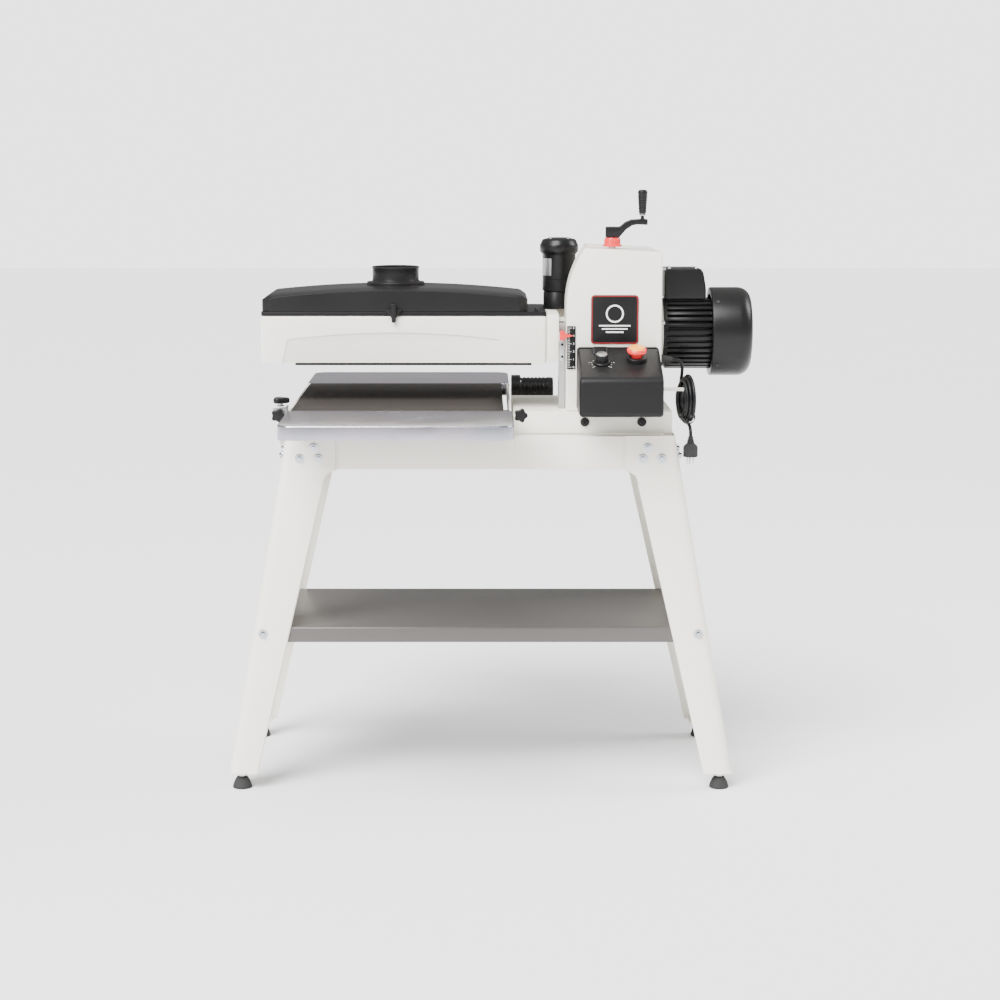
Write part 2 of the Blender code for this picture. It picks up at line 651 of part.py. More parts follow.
def make_carriage(paints):
    """Cast carriage: slide block, spindle tube, nut lug and motor flange in one piece."""
    cast = paints["white"]
    carriage = block("head_carriage", (ARM_RIGHT + GAP, -0.1150, 0.8790), (0.1385, 0.1150,
        ARM_TOP - 0.001), cast)
    tunnel = turned("spindle_tunnel", [(0, 0.100), (0.0275, 0.100), (0.0275, 0.150), (0, 0.150)], "x",
        (0, 0, DRUM_Z), cast, 28)
    tube_profile = [(0.0245, 0.1145), (0.0300, 0.1145), (0.0300, 0.3480), (0.0700, 0.3480),
        (0.0700, MOTOR_LEFT - GAP),
                    (0.0150, MOTOR_LEFT - GAP), (0.0150, 0.1320), (0.0245, 0.1320)]
    tube = turned("spindle_tube", tube_profile, "x", (0, 0, DRUM_Z), cast, 28)
    lug = block("nut_lug", (SCREW_X - 0.016, SCREW_Y - 0.016, DRUM_Z - 0.015), (SCREW_X + 0.016, -0.0200,
        DRUM_Z + 0.014), cast)
    ledge = block("gearmotor_ledge", (0.1335, 0.0600, 0.9550), (0.1800, 0.1140, ARM_TOP - 0.0020), cast)
    cut(carriage, tunnel)
    join(carriage, tube, lug, ledge)
    nut = turned("nut_bore", [(0, 0.88), (SCREW_RADIUS + 0.0006, 0.88), (SCREW_RADIUS + 0.0006, 0.98),
        (0, 0.98)], "z",
                 (SCREW_X, SCREW_Y, 0), cast, 16)
    cut(carriage, nut)
    use_manifold(carriage)
    tip = 0.1680
    outline = [(0.1420, 0.9300), (0.1520, 0.9300), (tip, 0.9375), (0.1520, 0.9450), (0.1420, 0.9450)]
    pointer = prism("depth_pointer", outline, -0.1555, -0.1535, "y", paints["red"])
    stay = block("pointer_stay", (0.1400, -0.1545, 0.8850), (0.1495, -0.1060, 0.9440), paints["red"])
    foot = block("pointer_foot", (0.1388, -0.1130, 0.8900), (0.1440, -0.1050, 0.9400), paints["red"])
    join(pointer, stay, foot)


def make_drum(paints):
    axis = pivot("drum_axis", (0, 0, DRUM_Z))
    shaft_profile = [(0, -0.4640), (SHAFT_RADIUS, -0.4640), (SHAFT_RADIUS, 0.3620), (0.0090, 0.3620),
        (0.0090, 0.4820), (0, 0.4820)]
    shaft = turned("drum_shaft", shaft_profile, "x", (0, 0, DRUM_Z), paints["steel"], 20)
    bore = SHAFT_RADIUS + GAP
    rim = DRUM_RADIUS - 0.007
    mid = (DRUM_LEFT + DRUM_RIGHT) / 2
    drum_profile = [(bore, mid - 0.03), (0.0220, mid - 0.03), (0.0220, mid - 0.006), (rim, mid - 0.006),
        (rim, DRUM_LEFT),
                    (DRUM_RADIUS, DRUM_LEFT), (DRUM_RADIUS, DRUM_RIGHT), (rim, DRUM_RIGHT), (rim,
                        mid + 0.006), (0.0220, mid + 0.006),
                    (0.0220, mid + 0.03), (bore, mid + 0.03)]
    drum = turned("drum", drum_profile, "x", (0, 0, DRUM_Z), paints["cast"], 40)
    low = DRUM_RADIUS + 0.0003
    high = DRUM_RADIUS + WRAP_THICK
    wrap_profile = [(low, DRUM_LEFT + 0.002), (high, DRUM_LEFT + 0.002), (high, DRUM_RIGHT - 0.002),
        (low, DRUM_RIGHT - 0.002)]
    wrap = turned("abrasive_wrap", wrap_profile, "x", (0, 0, DRUM_Z), paints["wrap"], 40)
    fan_x = 0.4680
    fan = turned("motor_fan", [(0.0095, fan_x), (0.0200, fan_x), (0.0200, fan_x + 0.004),
        (0.0200, fan_x + 0.010), (0.0095, fan_x + 0.010)],
                 "x", (0, 0, DRUM_Z), paints["black"], 24)
    for blade in range(3):
        turn = Matrix.Translation((0, 0, DRUM_Z)) @ Matrix.Rotation(math.pi * blade / 3, 4, "X")
        paddle = block(f"fan_blade_{blade}", (fan_x + 0.001, -0.0680, -0.0015), (fan_x + 0.009, 0.0680,
            0.0015), paints["black"])
        paddle.data.transform(turn)
        join(fan, paddle)
    hole = turned("fan_bore", [(0, 0.45), (0.0095, 0.45), (0.0095, 0.49), (0, 0.49)], "x",
        (0, 0, DRUM_Z), paints["black"], 24)
    cut(fan, hole)
    hang(axis, shaft, drum, wrap, fan)


def make_pressure_rollers(paints):
    """Spring-pressed rollers that hold the work down before and after the drum."""
    for name, y in (("infeed_roller", -0.0880), ("outfeed_roller", 0.0880)):
        axis = pivot(name + "_axis", (0, y, 0.8900))
        roller = make_roller(name, y, 0.8900, 0.0125, DRUM_LEFT, DRUM_RIGHT, 0.0120, paints["rubber"])
        hang(axis, roller)


def make_cover(paints):
    """Hinged dust cover: a crowned hip-roof moulding with the dust port on top."""
    steps = 8
    hinge = pivot("cover_hinge", (0, HINGE_Y, HINGE_Z))
    mid = (COVER_LEFT + COVER_RIGHT) / 2
    half = (COVER_RIGHT - COVER_LEFT) / 2
    verts = []
    for i in range(steps + 1):
        share = -1 + 2 * i / steps
        x = mid + share * half
        roof_x = mid + share * (half - 0.017)
        shoulder = 1.0095 + 0.0155 * (1 - share * share)
        ridge = shoulder + 0.0065
        verts += [(x, -COVER_HALF_Y, COVER_BOTTOM), (x, -COVER_HALF_Y + 0.004, shoulder - 0.004),
                  (roof_x, -0.0850, ridge), (roof_x, 0.0850, ridge),
                  (x, COVER_HALF_Y - 0.004, shoulder - 0.004), (x, COVER_HALF_Y, COVER_BOTTOM)]
    faces = []
    for i in range(steps):
        for j in range(5):
            a = 6 * i + j
            faces.append([a, a + 6, a + 7, a + 1])
    last = 6 * steps
    faces.append([0, 1, 4, 5])
    faces.append([1, 2, 3, 4])
    faces.append([last, last + 5, last + 4, last + 1])
    faces.append([last + 1, last + 4, last + 3, last + 2])
    cover = shell("dust_cover", verts, faces, COVER_SHEET, paints["black"])
    if cover.data.polygons[2].normal.z < 0:
        cover.data.flip_normals()
    port = turned("dust_port", [(0, 1.0100), (PORT_RADIUS + 0.0030, 1.0100), (PORT_RADIUS + 0.0030,
        1.0400), (PORT_RADIUS, 1.0420), (PORT_RADIUS, PORT_TOP), (0, PORT_TOP)],
                  "z", (PORT_X, 0, 0), paints["black"], 32)
    bore = turned("port_bore", [(0, 0.97), (PORT_RADIUS - 0.0035, 0.97), (PORT_RADIUS - 0.0035, 1.10),
        (0, 1.10)], "z", (PORT_X, 0, 0),
                  paints["black"], 32)
    lug = block("hinge_lug", (-0.300, COVER_HALF_Y - 0.004, COVER_BOTTOM + 0.002),
        (-0.100, HINGE_Y + 0.006, COVER_BOTTOM + 0.014), paints["black"])
    join(cover, port, lug)
    cut(cover, bore)
    cover.data.transform(Matrix.Translation((0, -HINGE_Y, -HINGE_Z)))
    cover.location = (0, HINGE_Y, HINGE_Z)
    hang(hinge, cover)
    latch_axis = pivot("latch_axis", (PORT_X, -ARM_HALF_Y - 0.0040, 0.9720))
    outline = [(PORT_X - 0.0180, 0.9860), (PORT_X, 0.9660), (PORT_X + 0.0180, 0.9860)]
    latch = prism("cover_latch", outline, -0.1250, -0.1205, "y", paints["black"],
        tuple(latch_axis.location))
    tab = block("latch_tab", (PORT_X - 0.0035, -0.1300, 0.9600), (PORT_X + 0.0035, -0.1215, 0.9980),
        paints["black"])
    join(latch, tab)
    hang(latch_axis, latch)


# ---------------------------------------------------------------- motors
def make_motor(paints):
    fins = 36
    outline = []
    for k in range(fins):
        for part, radius in ((0.00, 0.0705), (0.34, 0.0705), (0.42, MOTOR_RADIUS), (0.92, MOTOR_RADIUS)):
            angle = 2 * math.pi * (k + part) / fins
            outline.append((radius * math.cos(angle), DRUM_Z + radius * math.sin(angle)))
    motor = prism("motor_body", outline, MOTOR_LEFT + 0.006, MOTOR_BODY_RIGHT, "x", paints["black_paint"])
    bell = turned("motor_bell", [(0, MOTOR_LEFT), (0.0740, MOTOR_LEFT), (0.0740, MOTOR_LEFT + 0.009),
        (0, MOTOR_LEFT + 0.009)], "x",
                  (0, 0, DRUM_Z), paints["black_paint"], 32)
    join(motor, bell)
    bore = turned("motor_bore", [(0, 0.3), (0.0150, 0.3), (0.0150, 0.50), (0, 0.50)], "x",
        (0, 0, DRUM_Z), paints["black_paint"], 24)
    seat = block("capacitor_seat", (0.350, -0.0455, DRUM_Z + 0.0686), (0.470, 0.0455, DRUM_Z + 0.120),
        paints["black_paint"])
    cut(motor, bore, seat)
    use_manifold(motor)
    outer = FAN_COVER_RADIUS
    left = MOTOR_BODY_RIGHT + GAP
    wall = 0.0025
    shell_profile = [(MOTOR_RADIUS + 0.0010, left), (outer, left), (outer, MOTOR_RIGHT - 0.030),
        (outer - 0.004, MOTOR_RIGHT - 0.014),
                     (outer - 0.014, MOTOR_RIGHT - 0.003), (outer - 0.024, MOTOR_RIGHT), (0.0120,
                         MOTOR_RIGHT), (0.0120, MOTOR_RIGHT - wall),
                     (outer - 0.025, MOTOR_RIGHT - wall), (outer - 0.016, MOTOR_RIGHT - wall - 0.003),
                     (outer - 0.0065, MOTOR_RIGHT - 0.016), (outer - wall, MOTOR_RIGHT - 0.031),
                         (outer - wall, left + wall),
                     (MOTOR_RADIUS + 0.0010, left + wall)]
    turned("motor_fan_cover", shell_profile, "x", (0, 0, DRUM_Z), paints["black_paint"], 40)
    top = 1.0660
    low = DRUM_Z + 0.0692
    box_outline = [(0.3610, low), (0.4475, low), (0.4475, 1.0250), (0.4420, top - 0.010), (0.4360, top),
        (0.3610, top)]
    capacitor = prism("capacitor_box", box_outline, -0.0440, 0.0440, "y", paints["black_paint"])
    capacitor_hollow = block("capacitor_hollow", (0.3640, -0.0410, low - 0.010), (0.4390, 0.0410,
        1.0580), paints["black_paint"])
    soften = capacitor.modifiers.new("edges", "BEVEL")
    soften.width = 0.006
    soften.segments = 2
    soften.limit_method = "ANGLE"
    soften.angle_limit = math.radians(60)
    cut(capacitor, capacitor_hollow)
    stand_z = ARM_TOP + GAP
    profile = [(0, 0), (0.0330, 0), (0.0330, 0.036), (0.0350, 0.038), (0.0350, 0.114), (0.0405, 0.120),
        (0.0405, 0.136),
               (0.0340, 0.146), (0.0200, 0.1490), (0, 0.1490)]
    turned("oscillation_motor", profile, "z", (0.1440, 0.0500, stand_z), paints["black_paint"], 28)


# ---------------------------------------------------------------- controls
def panel_frame():
    """Matrix at the middle of the sloped control panel, its local Z along the panel's outward normal."""
    rise = PANEL_BACK_TOP - PANEL_FRONT_TOP
    run = PANEL_BACK_Y - PANEL_FRONT_Y
    tilt = math.atan2(rise, run)
    middle = Vector(((PANEL_LEFT + PANEL_RIGHT) / 2, (PANEL_BACK_Y + PANEL_FRONT_Y) / 2,
        (PANEL_BACK_TOP + PANEL_FRONT_TOP) / 2))
    return Matrix.Translation(middle) @ Matrix.Rotation(tilt, 4, "X")


def make_controls(paints):
    outline = [(PANEL_BACK_Y, PANEL_BOTTOM), (PANEL_BACK_Y, PANEL_BACK_TOP), (PANEL_FRONT_Y,
        PANEL_FRONT_TOP), (PANEL_FRONT_Y, PANEL_BOTTOM)]
    box = prism("control_box", outline, PANEL_LEFT, PANEL_RIGHT, "x", paints["black"])
    frame = panel_frame()
    turn = frame.to_3x3()
    soften = box.modifiers.new("edges", "BEVEL")
    soften.width = 0.008
    soften.segments = 2
    inner = [(PANEL_BACK_Y + 0.0200, PANEL_BOTTOM + 0.0040), (PANEL_BACK_Y + 0.0200,
        PANEL_BACK_TOP + 0.0030),
             (PANEL_FRONT_Y + 0.0040, PANEL_FRONT_TOP - 0.0034), (PANEL_FRONT_Y + 0.0040,
                 PANEL_BOTTOM + 0.0040)]
    cavity = prism("control_cavity", inner, PANEL_LEFT + 0.0040, PANEL_RIGHT - 0.0040, "x",
        paints["black"])
    cut(box, cavity)
    for name, place, profile, finish, steps in (
        ("speed_knob", (-0.0370, -0.0080), [(0, 0.0010), (0.0170, 0.0010), (0.0165, 0.0050),
            (0.0140, 0.0070), (0.0125, 0.0230), (0, 0.0230)], "black", 24),
        ("stop_button", (0.0335, 0.0050), [(0, -0.0040), (0.0110, -0.0040), (0.0110, 0.0160),
            (0.0190, 0.0190), (0.0200, 0.0240), (0.0150, 0.0290), (0, 0.0300)], "red", 28),
    ):
        centre = frame @ Vector((place[0], place[1], 0))
        axis = pivot(name + "_axis", centre)
        button = turned(name, profile, turn, centre, paints[finish], steps)
        hang(axis, button)
    stop_centre = frame @ Vector((0.0335, 0.0050, 0))
    well = turned("stop_well", [(0, -0.0120), (0.0118, -0.0120), (0.0118, 0.0100), (0, 0.0100)], turn,
        stop_centre, paints["black"], 24)
    cut(box, well)
    switch_place = Vector((-0.0370, 0.0500, 0))
    seat = block("switch_seat", (-0.0120, -0.0140, -0.0080), (0.0120, 0.0140, 0.0100), paints["black"])
    seat.data.transform(frame @ Matrix.Translation(switch_place))
    cut(box, seat)
    centre = frame @ switch_place
    axis = pivot("switch_axis", centre)
    rocker = prism("power_switch", [(-0.0125, 0.0035), (-0.0125, -0.0020), (0, -0.0060),
        (0.0125, -0.0020), (0.0125, 0.0035), (0, 0.0010)],
                   -0.0105, 0.0105, "x", paints["black"])
    rocker.data.transform(turn.to_4x4())
    rocker.location = centre
    hang(axis, rocker)


# ---------------------------------------------------------------- power cord
def smooth_route(points, count):
    """Even samples of a smooth curve through the points."""
    knots = [Vector(p) for p in points]
    knots = [2 * knots[0] - knots[1]] + knots + [2 * knots[-1] - knots[-2]]
    samples = []
    spans = len(points) - 1
    for i in range(count):
        at = spans * i / (count - 1)
        k = min(int(at), spans - 1)
        t = at - k
        p0, p1, p2, p3 = knots[k:k + 4]
        samples.append(0.5 * (2 * p1 + (p2 - p0) * t + (2 * p0 - 5 * p1 + 4 * p2 - p3) * t * t + (3
            * p1 - p0 - 3 * p2 + p3) * t ** 3))
    return samples


def make_tube(name, points, radius, count, finish):
    """A round cord along a smooth route."""
    curve = bpy.data.curves.new(name, "CURVE")
    curve.dimensions = "3D"
    curve.bevel_depth = radius
    curve.bevel_resolution = 2
    curve.use_fill_caps = True
    samples = smooth_route(points, count)
    spline = curve.splines.new("POLY")
    spline.points.add(len(samples) - 1)
    for slot, sample in zip(spline.points, samples):
        slot.co = (*sample, 1)
    made = bpy.data.objects.new(name, curve)
    curve.materials.append(finish)
    bpy.context.collection.objects.link(made)
    return made


def make_cord(paints):
    rubber = paints["rubber"]
    x, y, z = GLAND_AT
    gland_profile = [(0.0043, x + 0.0004), (0.0110, x + 0.0004), (0.0110, x + 0.0050),
        (0.0080, x + 0.0060), (0.0058, x + 0.0240),
                     (0.0043, x + 0.0240)]
    turned("cord_gland", gland_profile, "x", (0, y, z), rubber, 20)
    cx, cy, cz = COIL_CENTRE
    beside = Vector((-math.sin(COIL_YAW), math.cos(COIL_YAW), 0)) * COIL_RADIUS
    arrive = Vector(COIL_CENTRE) + beside + Vector((0, 0, COIL_RADIUS - 0.0005))
    leave = Vector(COIL_CENTRE) - beside - Vector((0, 0, COIL_RADIUS - 0.0005))
    lead = [(x + 0.0010, y, z), (x + 0.0130, y, z), (x + 0.0255, y + 0.0004, z - 0.0003),
        (x + 0.0380, y + 0.0100, z - 0.0075),
            (arrive.x + 0.0005, arrive.y - 0.0070, arrive.z + 0.0200), (arrive.x, arrive.y, arrive.z)]
    make_tube("power_cord_lead", lead, CORD_RADIUS, 18, rubber)
    steps = 10
    section = [(COIL_RADIUS + COIL_SECTION * math.cos(2 * math.pi * k / steps),
        COIL_SECTION * math.sin(2 * math.pi * k / steps))
               for k in range(steps)]
    turn = Matrix.Rotation(COIL_YAW, 3, "Z") @ Matrix.Rotation(math.pi / 2, 3, "Y")
    turned("power_cord_coil", section, turn, COIL_CENTRE, rubber, 28)
    tail = [(leave.x, leave.y, leave.z), (leave.x + 0.0005, leave.y, leave.z - 0.0120),
        (leave.x + 0.0020, leave.y + 0.0010, leave.z - 0.0240),
            (leave.x + 0.0025, leave.y + 0.0015, leave.z - 0.0330), (leave.x + 0.0025, leave.y + 0.0015,
                leave.z - 0.0380)]
    make_tube("power_cord_tail", tail, CORD_RADIUS, 8, rubber)
    px, py, pz = tail[-1]
    plug_profile = [(0, pz - 0.0008), (0.0060, pz - 0.0008), (0.0085, pz - 0.0120),
        (0.0150, pz - 0.0180), (0.0150, pz - 0.0400), (0, pz - 0.0400)]
    plug = turned("power_plug", plug_profile, "z", (px, py, 0), rubber, 20)
    for name, dx, dy in (("pin_a", -0.0063, 0.0030), ("pin_b", 0.0063, 0.0030), ("pin_c", 0.0, -0.0070)):
        blade = block(name, (px + dx - 0.0010, py + dy - 0.0030, pz - 0.0560), (px + dx + 0.0010,
            py + dy + 0.0030, pz - 0.0380), paints["steel"])
        join(plug, blade)


def main():
    clear_scene()
    paints = make_paints()
    make_stand(paints)
    make_base(paints)
    make_crank(paints)
    make_conveyor(paints)
    make_tension(paints)
    make_arm(paints)
    make_carriage(paints)
    make_drum(paints)
    make_pressure_rollers(paints)
    make_cover(paints)
    make_motor(paints)
    make_controls(paints)
    make_cord(paints)


main()
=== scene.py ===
"""Looks of the open-ended drum sander: every visible piece, its finish, the studio and the camera.

Everything is in metres in the part's own frame: +Z up, the operator at -Y, the motor at +X.
"""
import enum
import json
import logging
import math
from contextlib import contextmanager
from dataclasses import dataclass, field
from typing import Callable, Iterator, Optional, Sequence

import bmesh
import bpy
from mathutils import Matrix, Vector


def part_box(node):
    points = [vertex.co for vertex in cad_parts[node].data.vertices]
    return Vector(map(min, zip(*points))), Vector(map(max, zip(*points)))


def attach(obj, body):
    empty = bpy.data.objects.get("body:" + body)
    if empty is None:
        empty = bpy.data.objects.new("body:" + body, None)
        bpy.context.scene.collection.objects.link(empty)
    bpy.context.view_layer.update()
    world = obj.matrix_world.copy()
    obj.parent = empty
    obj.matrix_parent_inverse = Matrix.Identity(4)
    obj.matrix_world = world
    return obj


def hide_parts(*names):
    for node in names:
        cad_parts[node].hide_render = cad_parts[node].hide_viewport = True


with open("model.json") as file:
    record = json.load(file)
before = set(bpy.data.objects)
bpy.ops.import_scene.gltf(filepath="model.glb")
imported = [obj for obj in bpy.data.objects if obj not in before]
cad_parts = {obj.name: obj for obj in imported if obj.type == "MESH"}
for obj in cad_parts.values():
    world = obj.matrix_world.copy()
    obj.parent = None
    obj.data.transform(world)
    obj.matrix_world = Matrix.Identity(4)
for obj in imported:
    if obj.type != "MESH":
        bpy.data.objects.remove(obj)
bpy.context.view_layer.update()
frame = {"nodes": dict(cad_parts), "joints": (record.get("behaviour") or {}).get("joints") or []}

LOG = logging.getLogger("drum_sander")
Point = tuple[float, float, float]
Flat = tuple[float, float]

SMOOTH_UNDER = 38.0
SHARP_OVER = 32.0
FOUR_CORNERS = [math.radians(45 + 90 * k) for k in range(4)]


class Axis(enum.Enum):
    """A row axis, with the turn that brings a piece modelled along Z onto it."""

    X = "x"
    Y = "y"
    Z = "z"

    def turn(self) -> Matrix:
        """Rotation that takes +Z to this axis."""
        turns = {
            Axis.X: Matrix.Rotation(math.pi / 2, 4, "Y"),
            Axis.Y: Matrix.Rotation(-math.pi / 2, 4, "X"),
            Axis.Z: Matrix.Identity(4),
        }
        return turns[self]


# ------------------------------------------------------------------ shader groups
class ShaderGroup:
    """A node group under construction, with named inputs and outputs."""

    def __init__(self, name: str, inputs: Sequence[tuple[str, str, object]], outputs: Sequence[tuple[str,
        str]]) -> None:
        """Makes the group and its sockets.

        Args:
            name: the group's name.
            inputs: (name, socket type, default) of each input.
            outputs: (name, socket type) of each output.
        """
        self.tree = bpy.data.node_groups.new(name, "ShaderNodeTree")
        for label, kind, default in inputs:
            socket = self.tree.interface.new_socket(name=label, in_out="INPUT", socket_type=kind)
            socket.default_value = default
        for label, kind in outputs:
            self.tree.interface.new_socket(name=label, in_out="OUTPUT", socket_type=kind)
        self.entry = self.tree.nodes.new("NodeGroupInput")
        self.exit = self.tree.nodes.new("NodeGroupOutput")

    def node(self, kind: str, **values: object) -> bpy.types.Node:
        """Adds a node and sets its properties."""
        made = self.tree.nodes.new(kind)
        for label, value in values.items():
            setattr(made, label, value)
        return made

    def feed(self, value: object, socket: bpy.types.NodeSocket) -> None:
        """Gives an input its value: another socket is linked, a number is set."""
        if isinstance(value, bpy.types.NodeSocket):
            self.tree.links.new(value, socket)
        else:
            socket.default_value = value

    def give(self, label: str, value: bpy.types.NodeSocket) -> None:
        """Sends a socket out of the group."""
        self.feed(value, self.exit.inputs[label])

    def math(self, operation: str, *values: object, **more: object) -> bpy.types.NodeSocket:
        """Adds a math node over sockets and numbers, and gives its result."""
        made = self.node("ShaderNodeMath", operation=operation, **more)
        for value, socket in zip(values, made.inputs):
            self.feed(value, socket)
        return made.outputs[0]

    def noise(self, vector: bpy.types.NodeSocket, scale: object, detail: float) -> bpy.types.NodeSocket:
        """Adds a noise texture and gives its factor."""
        made = self.node("ShaderNodeTexNoise")
        for label, value in (("Vector", vector), ("Scale", scale), ("Detail", detail)):
            self.feed(value, made.inputs[label])
        return made.outputs["Fac"]

    def ramp(self, value: bpy.types.NodeSocket, low: float, top: float) -> bpy.types.NodeSocket:
        """Maps a value from low..1 to 0..top."""
        made = self.node("ShaderNodeMapRange")
        for label, given in (("Value", value), ("From Min", low), ("To Max", top)):
            self.feed(given, made.inputs[label])
        return made.outputs["Result"]

    def mix(self, factor, first, second) -> bpy.types.NodeSocket:
        """Mixes two colours by a factor."""
        made = self.node("ShaderNodeMix", data_type="RGBA", blend_type="MIX")
        for value, index in ((factor, 0), (first, 6), (second, 7)):
            self.feed(value, made.inputs[index])
        return made.outputs[2]

    def relief(self, strength, height, distance: float) -> None:
        """Sends a bumped normal out of the group."""
        made = self.node("ShaderNodeBump")
        for label, value in (("Distance", distance), ("Strength", strength), ("Height", height)):
            self.feed(value, made.inputs[label])
        self.give("Normal", made.outputs["Normal"])


GROUP_OUTPUTS = [("Colour", "NodeSocketColor"), ("Roughness", "NodeSocketFloat"),
    ("Normal", "NodeSocketVector")]


def build_coating_group() -> bpy.types.NodeTree:
    """Paint or moulded skin: slow colour drift, fine peel in the relief and dust on what faces up."""
    group = ShaderGroup(
        "coating",
        [("Vector", "NodeSocketVector", (0, 0, 0)), ("Colour", "NodeSocketColor", (0.5, 0.5, 0.5, 1)),
         ("Drift", "NodeSocketFloat", 0.06), ("Peel Scale", "NodeSocketFloat", 900.0),
         ("Peel", "NodeSocketFloat", 0.1), ("Roughness", "NodeSocketFloat", 0.4),
             ("Dust", "NodeSocketFloat", 0.05),
         ("Dust Colour", "NodeSocketColor", (0.62, 0.55, 0.44, 1))],
        GROUP_OUTPUTS)
    entry = group.entry.outputs
    slow = group.noise(entry["Vector"], 7.0, 5.0)
    fine = group.noise(entry["Vector"], entry["Peel Scale"], 3.0)
    centre = group.math("SUBTRACT", slow, 0.5)
    shade = group.node("ShaderNodeVectorMath", operation="SCALE")
    group.feed(entry["Colour"], shade.inputs[0])
    group.feed(group.math("MULTIPLY_ADD", centre, entry["Drift"], 1.0), shade.inputs["Scale"])
    upright = group.node("ShaderNodeSeparateXYZ")
    group.feed(group.node("ShaderNodeNewGeometry").outputs["Normal"], upright.inputs[0])
    patch = group.math("MULTIPLY", group.ramp(upright.outputs["Z"], 0.55, 1.0), slow)
    amount = group.math("MULTIPLY", patch, entry["Dust"])
    group.give("Colour", group.mix(amount, shade.outputs[0], entry["Dust Colour"]))
    gloss = group.math("MULTIPLY_ADD", centre, 0.16, entry["Roughness"])
    group.give("Roughness", group.math("MULTIPLY_ADD", amount, 0.5, gloss, use_clamp=True))
    group.relief(entry["Peel"], fine, 0.0004)
    return group.tree


def build_metal_group() -> bpy.types.NodeTree:
    """Worked metal: drawn or ground lines along one direction, with a slow change of gloss."""
    group = ShaderGroup(
        "worked_metal",
        [("Vector", "NodeSocketVector", (0, 0, 0)), ("Colour", "NodeSocketColor", (0.6, 0.6, 0.6, 1)),
         ("Tint", "NodeSocketColor", (0.6, 0.6, 0.6, 1)), ("Lines", "NodeSocketFloat", 300.0),
         ("Depth", "NodeSocketFloat", 0.1), ("Roughness", "NodeSocketFloat", 0.3)],
        GROUP_OUTPUTS)
    entry = group.entry.outputs
    lines = group.noise(entry["Vector"], entry["Lines"], 4.0)
    cloud = group.noise(group.node("ShaderNodeTexCoord").outputs["Object"], 9.0, 3.0)
    group.give("Colour", group.mix(cloud, entry["Colour"], entry["Tint"]))
    centre = group.math("SUBTRACT", lines, 0.5)
    group.give("Roughness", group.math("MULTIPLY_ADD", centre, 0.22, entry["Roughness"]))
    group.relief(entry["Depth"], lines, 0.0003)
    return group.tree


def build_grit_group() -> bpy.types.NodeTree:
    """Coated abrasive: packed grains with bright facets, worn in patches."""
    group = ShaderGroup(
        "grit",
        [("Vector", "NodeSocketVector", (0, 0, 0)), ("Colour", "NodeSocketColor", (0.1, 0.1, 0.1, 1)),
         ("Facet", "NodeSocketColor", (0.3, 0.3, 0.3, 1)), ("Grain", "NodeSocketFloat", 1400.0),
         ("Depth", "NodeSocketFloat", 0.5)],
        [GROUP_OUTPUTS[0], GROUP_OUTPUTS[2]])
    entry = group.entry.outputs
    cells = group.node("ShaderNodeTexVoronoi")
    group.feed(entry["Vector"], cells.inputs["Vector"])
    group.feed(entry["Grain"], cells.inputs["Scale"])
    tone = group.node("ShaderNodeSeparateColor")
    group.feed(cells.outputs["Color"], tone.inputs[0])
    grains = group.mix(group.ramp(tone.outputs[0], 0.45, 0.75), entry["Colour"], entry["Facet"])
    share = group.math("MULTIPLY", group.noise(entry["Vector"], 14.0, 6.0), 0.35)
    group.give("Colour", group.mix(share, grains, entry["Colour"]))
    group.relief(entry["Depth"], cells.outputs["Distance"], 0.0004)
    return group.tree


class Groups:
    """The shader groups, each built once."""

    coating = build_coating_group()
    metal = build_metal_group()
    grit = build_grit_group()


# ------------------------------------------------------------------ finishes
def make_material(name: str, tree: bpy.types.NodeTree, values: dict[str, object], settings: dict[str,
    float],
                  stretch: Optional[Point] = None) -> bpy.types.Material:
    """A material whose Principled shader is driven by one shader group.

    Args:
        name: the material's name.
        tree: the shader group.
        values: the group's inputs.
        settings: the shader's own inputs.
        stretch: scale of the object coordinates along each axis, for patterns that run in lines.

    Returns:
        The material.
    """
    made = bpy.data.materials.new(name)
    made.use_nodes = True
    nodes, links = made.node_tree.nodes, made.node_tree.links
    shader = nodes["Principled BSDF"]
    where = nodes.new("ShaderNodeTexCoord").outputs["Object"]
    if stretch is not None:
        mapping = nodes.new("ShaderNodeMapping")
        mapping.inputs["Scale"].default_value = stretch
        links.new(where, mapping.inputs["Vector"])
        where = mapping.outputs["Vector"]
    group = nodes.new("ShaderNodeGroup")
    group.node_tree = tree
    for label, value in values.items():
        group.inputs[label].default_value = value
    links.new(where, group.inputs["Vector"])
    for given, taken in (("Colour", "Base Color"), ("Roughness", "Roughness"), ("Normal", "Normal")):
        if given in group.outputs:
            links.new(group.outputs[given], shader.inputs[taken])
    for label, value in settings.items():
        shader.inputs[label].default_value = value
    return made


@dataclass(frozen=True)
class Coating:
    """Powder coat, enamel, moulded plastic or rubber."""

    name: str
    colour: Point
    roughness: float
    drift: float = 0.08
    peel_scale: float = 900.0
    peel: float = 0.10
    dust: float = 0.10
    coat: float = 0.0
    specular: float = 0.5

    def make(self) -> bpy.types.Material:
        """Builds the material."""
        values = {"Colour": (*self.colour, 1), "Drift": self.drift, "Peel Scale": self.peel_scale,
            "Peel": self.peel,
                  "Roughness": self.roughness, "Dust": self.dust}
        settings = {"Coat Weight": self.coat, "Coat Roughness": 0.08, "Specular IOR Level": self.specular}
        return make_material(self.name, Groups.coating, values, settings)


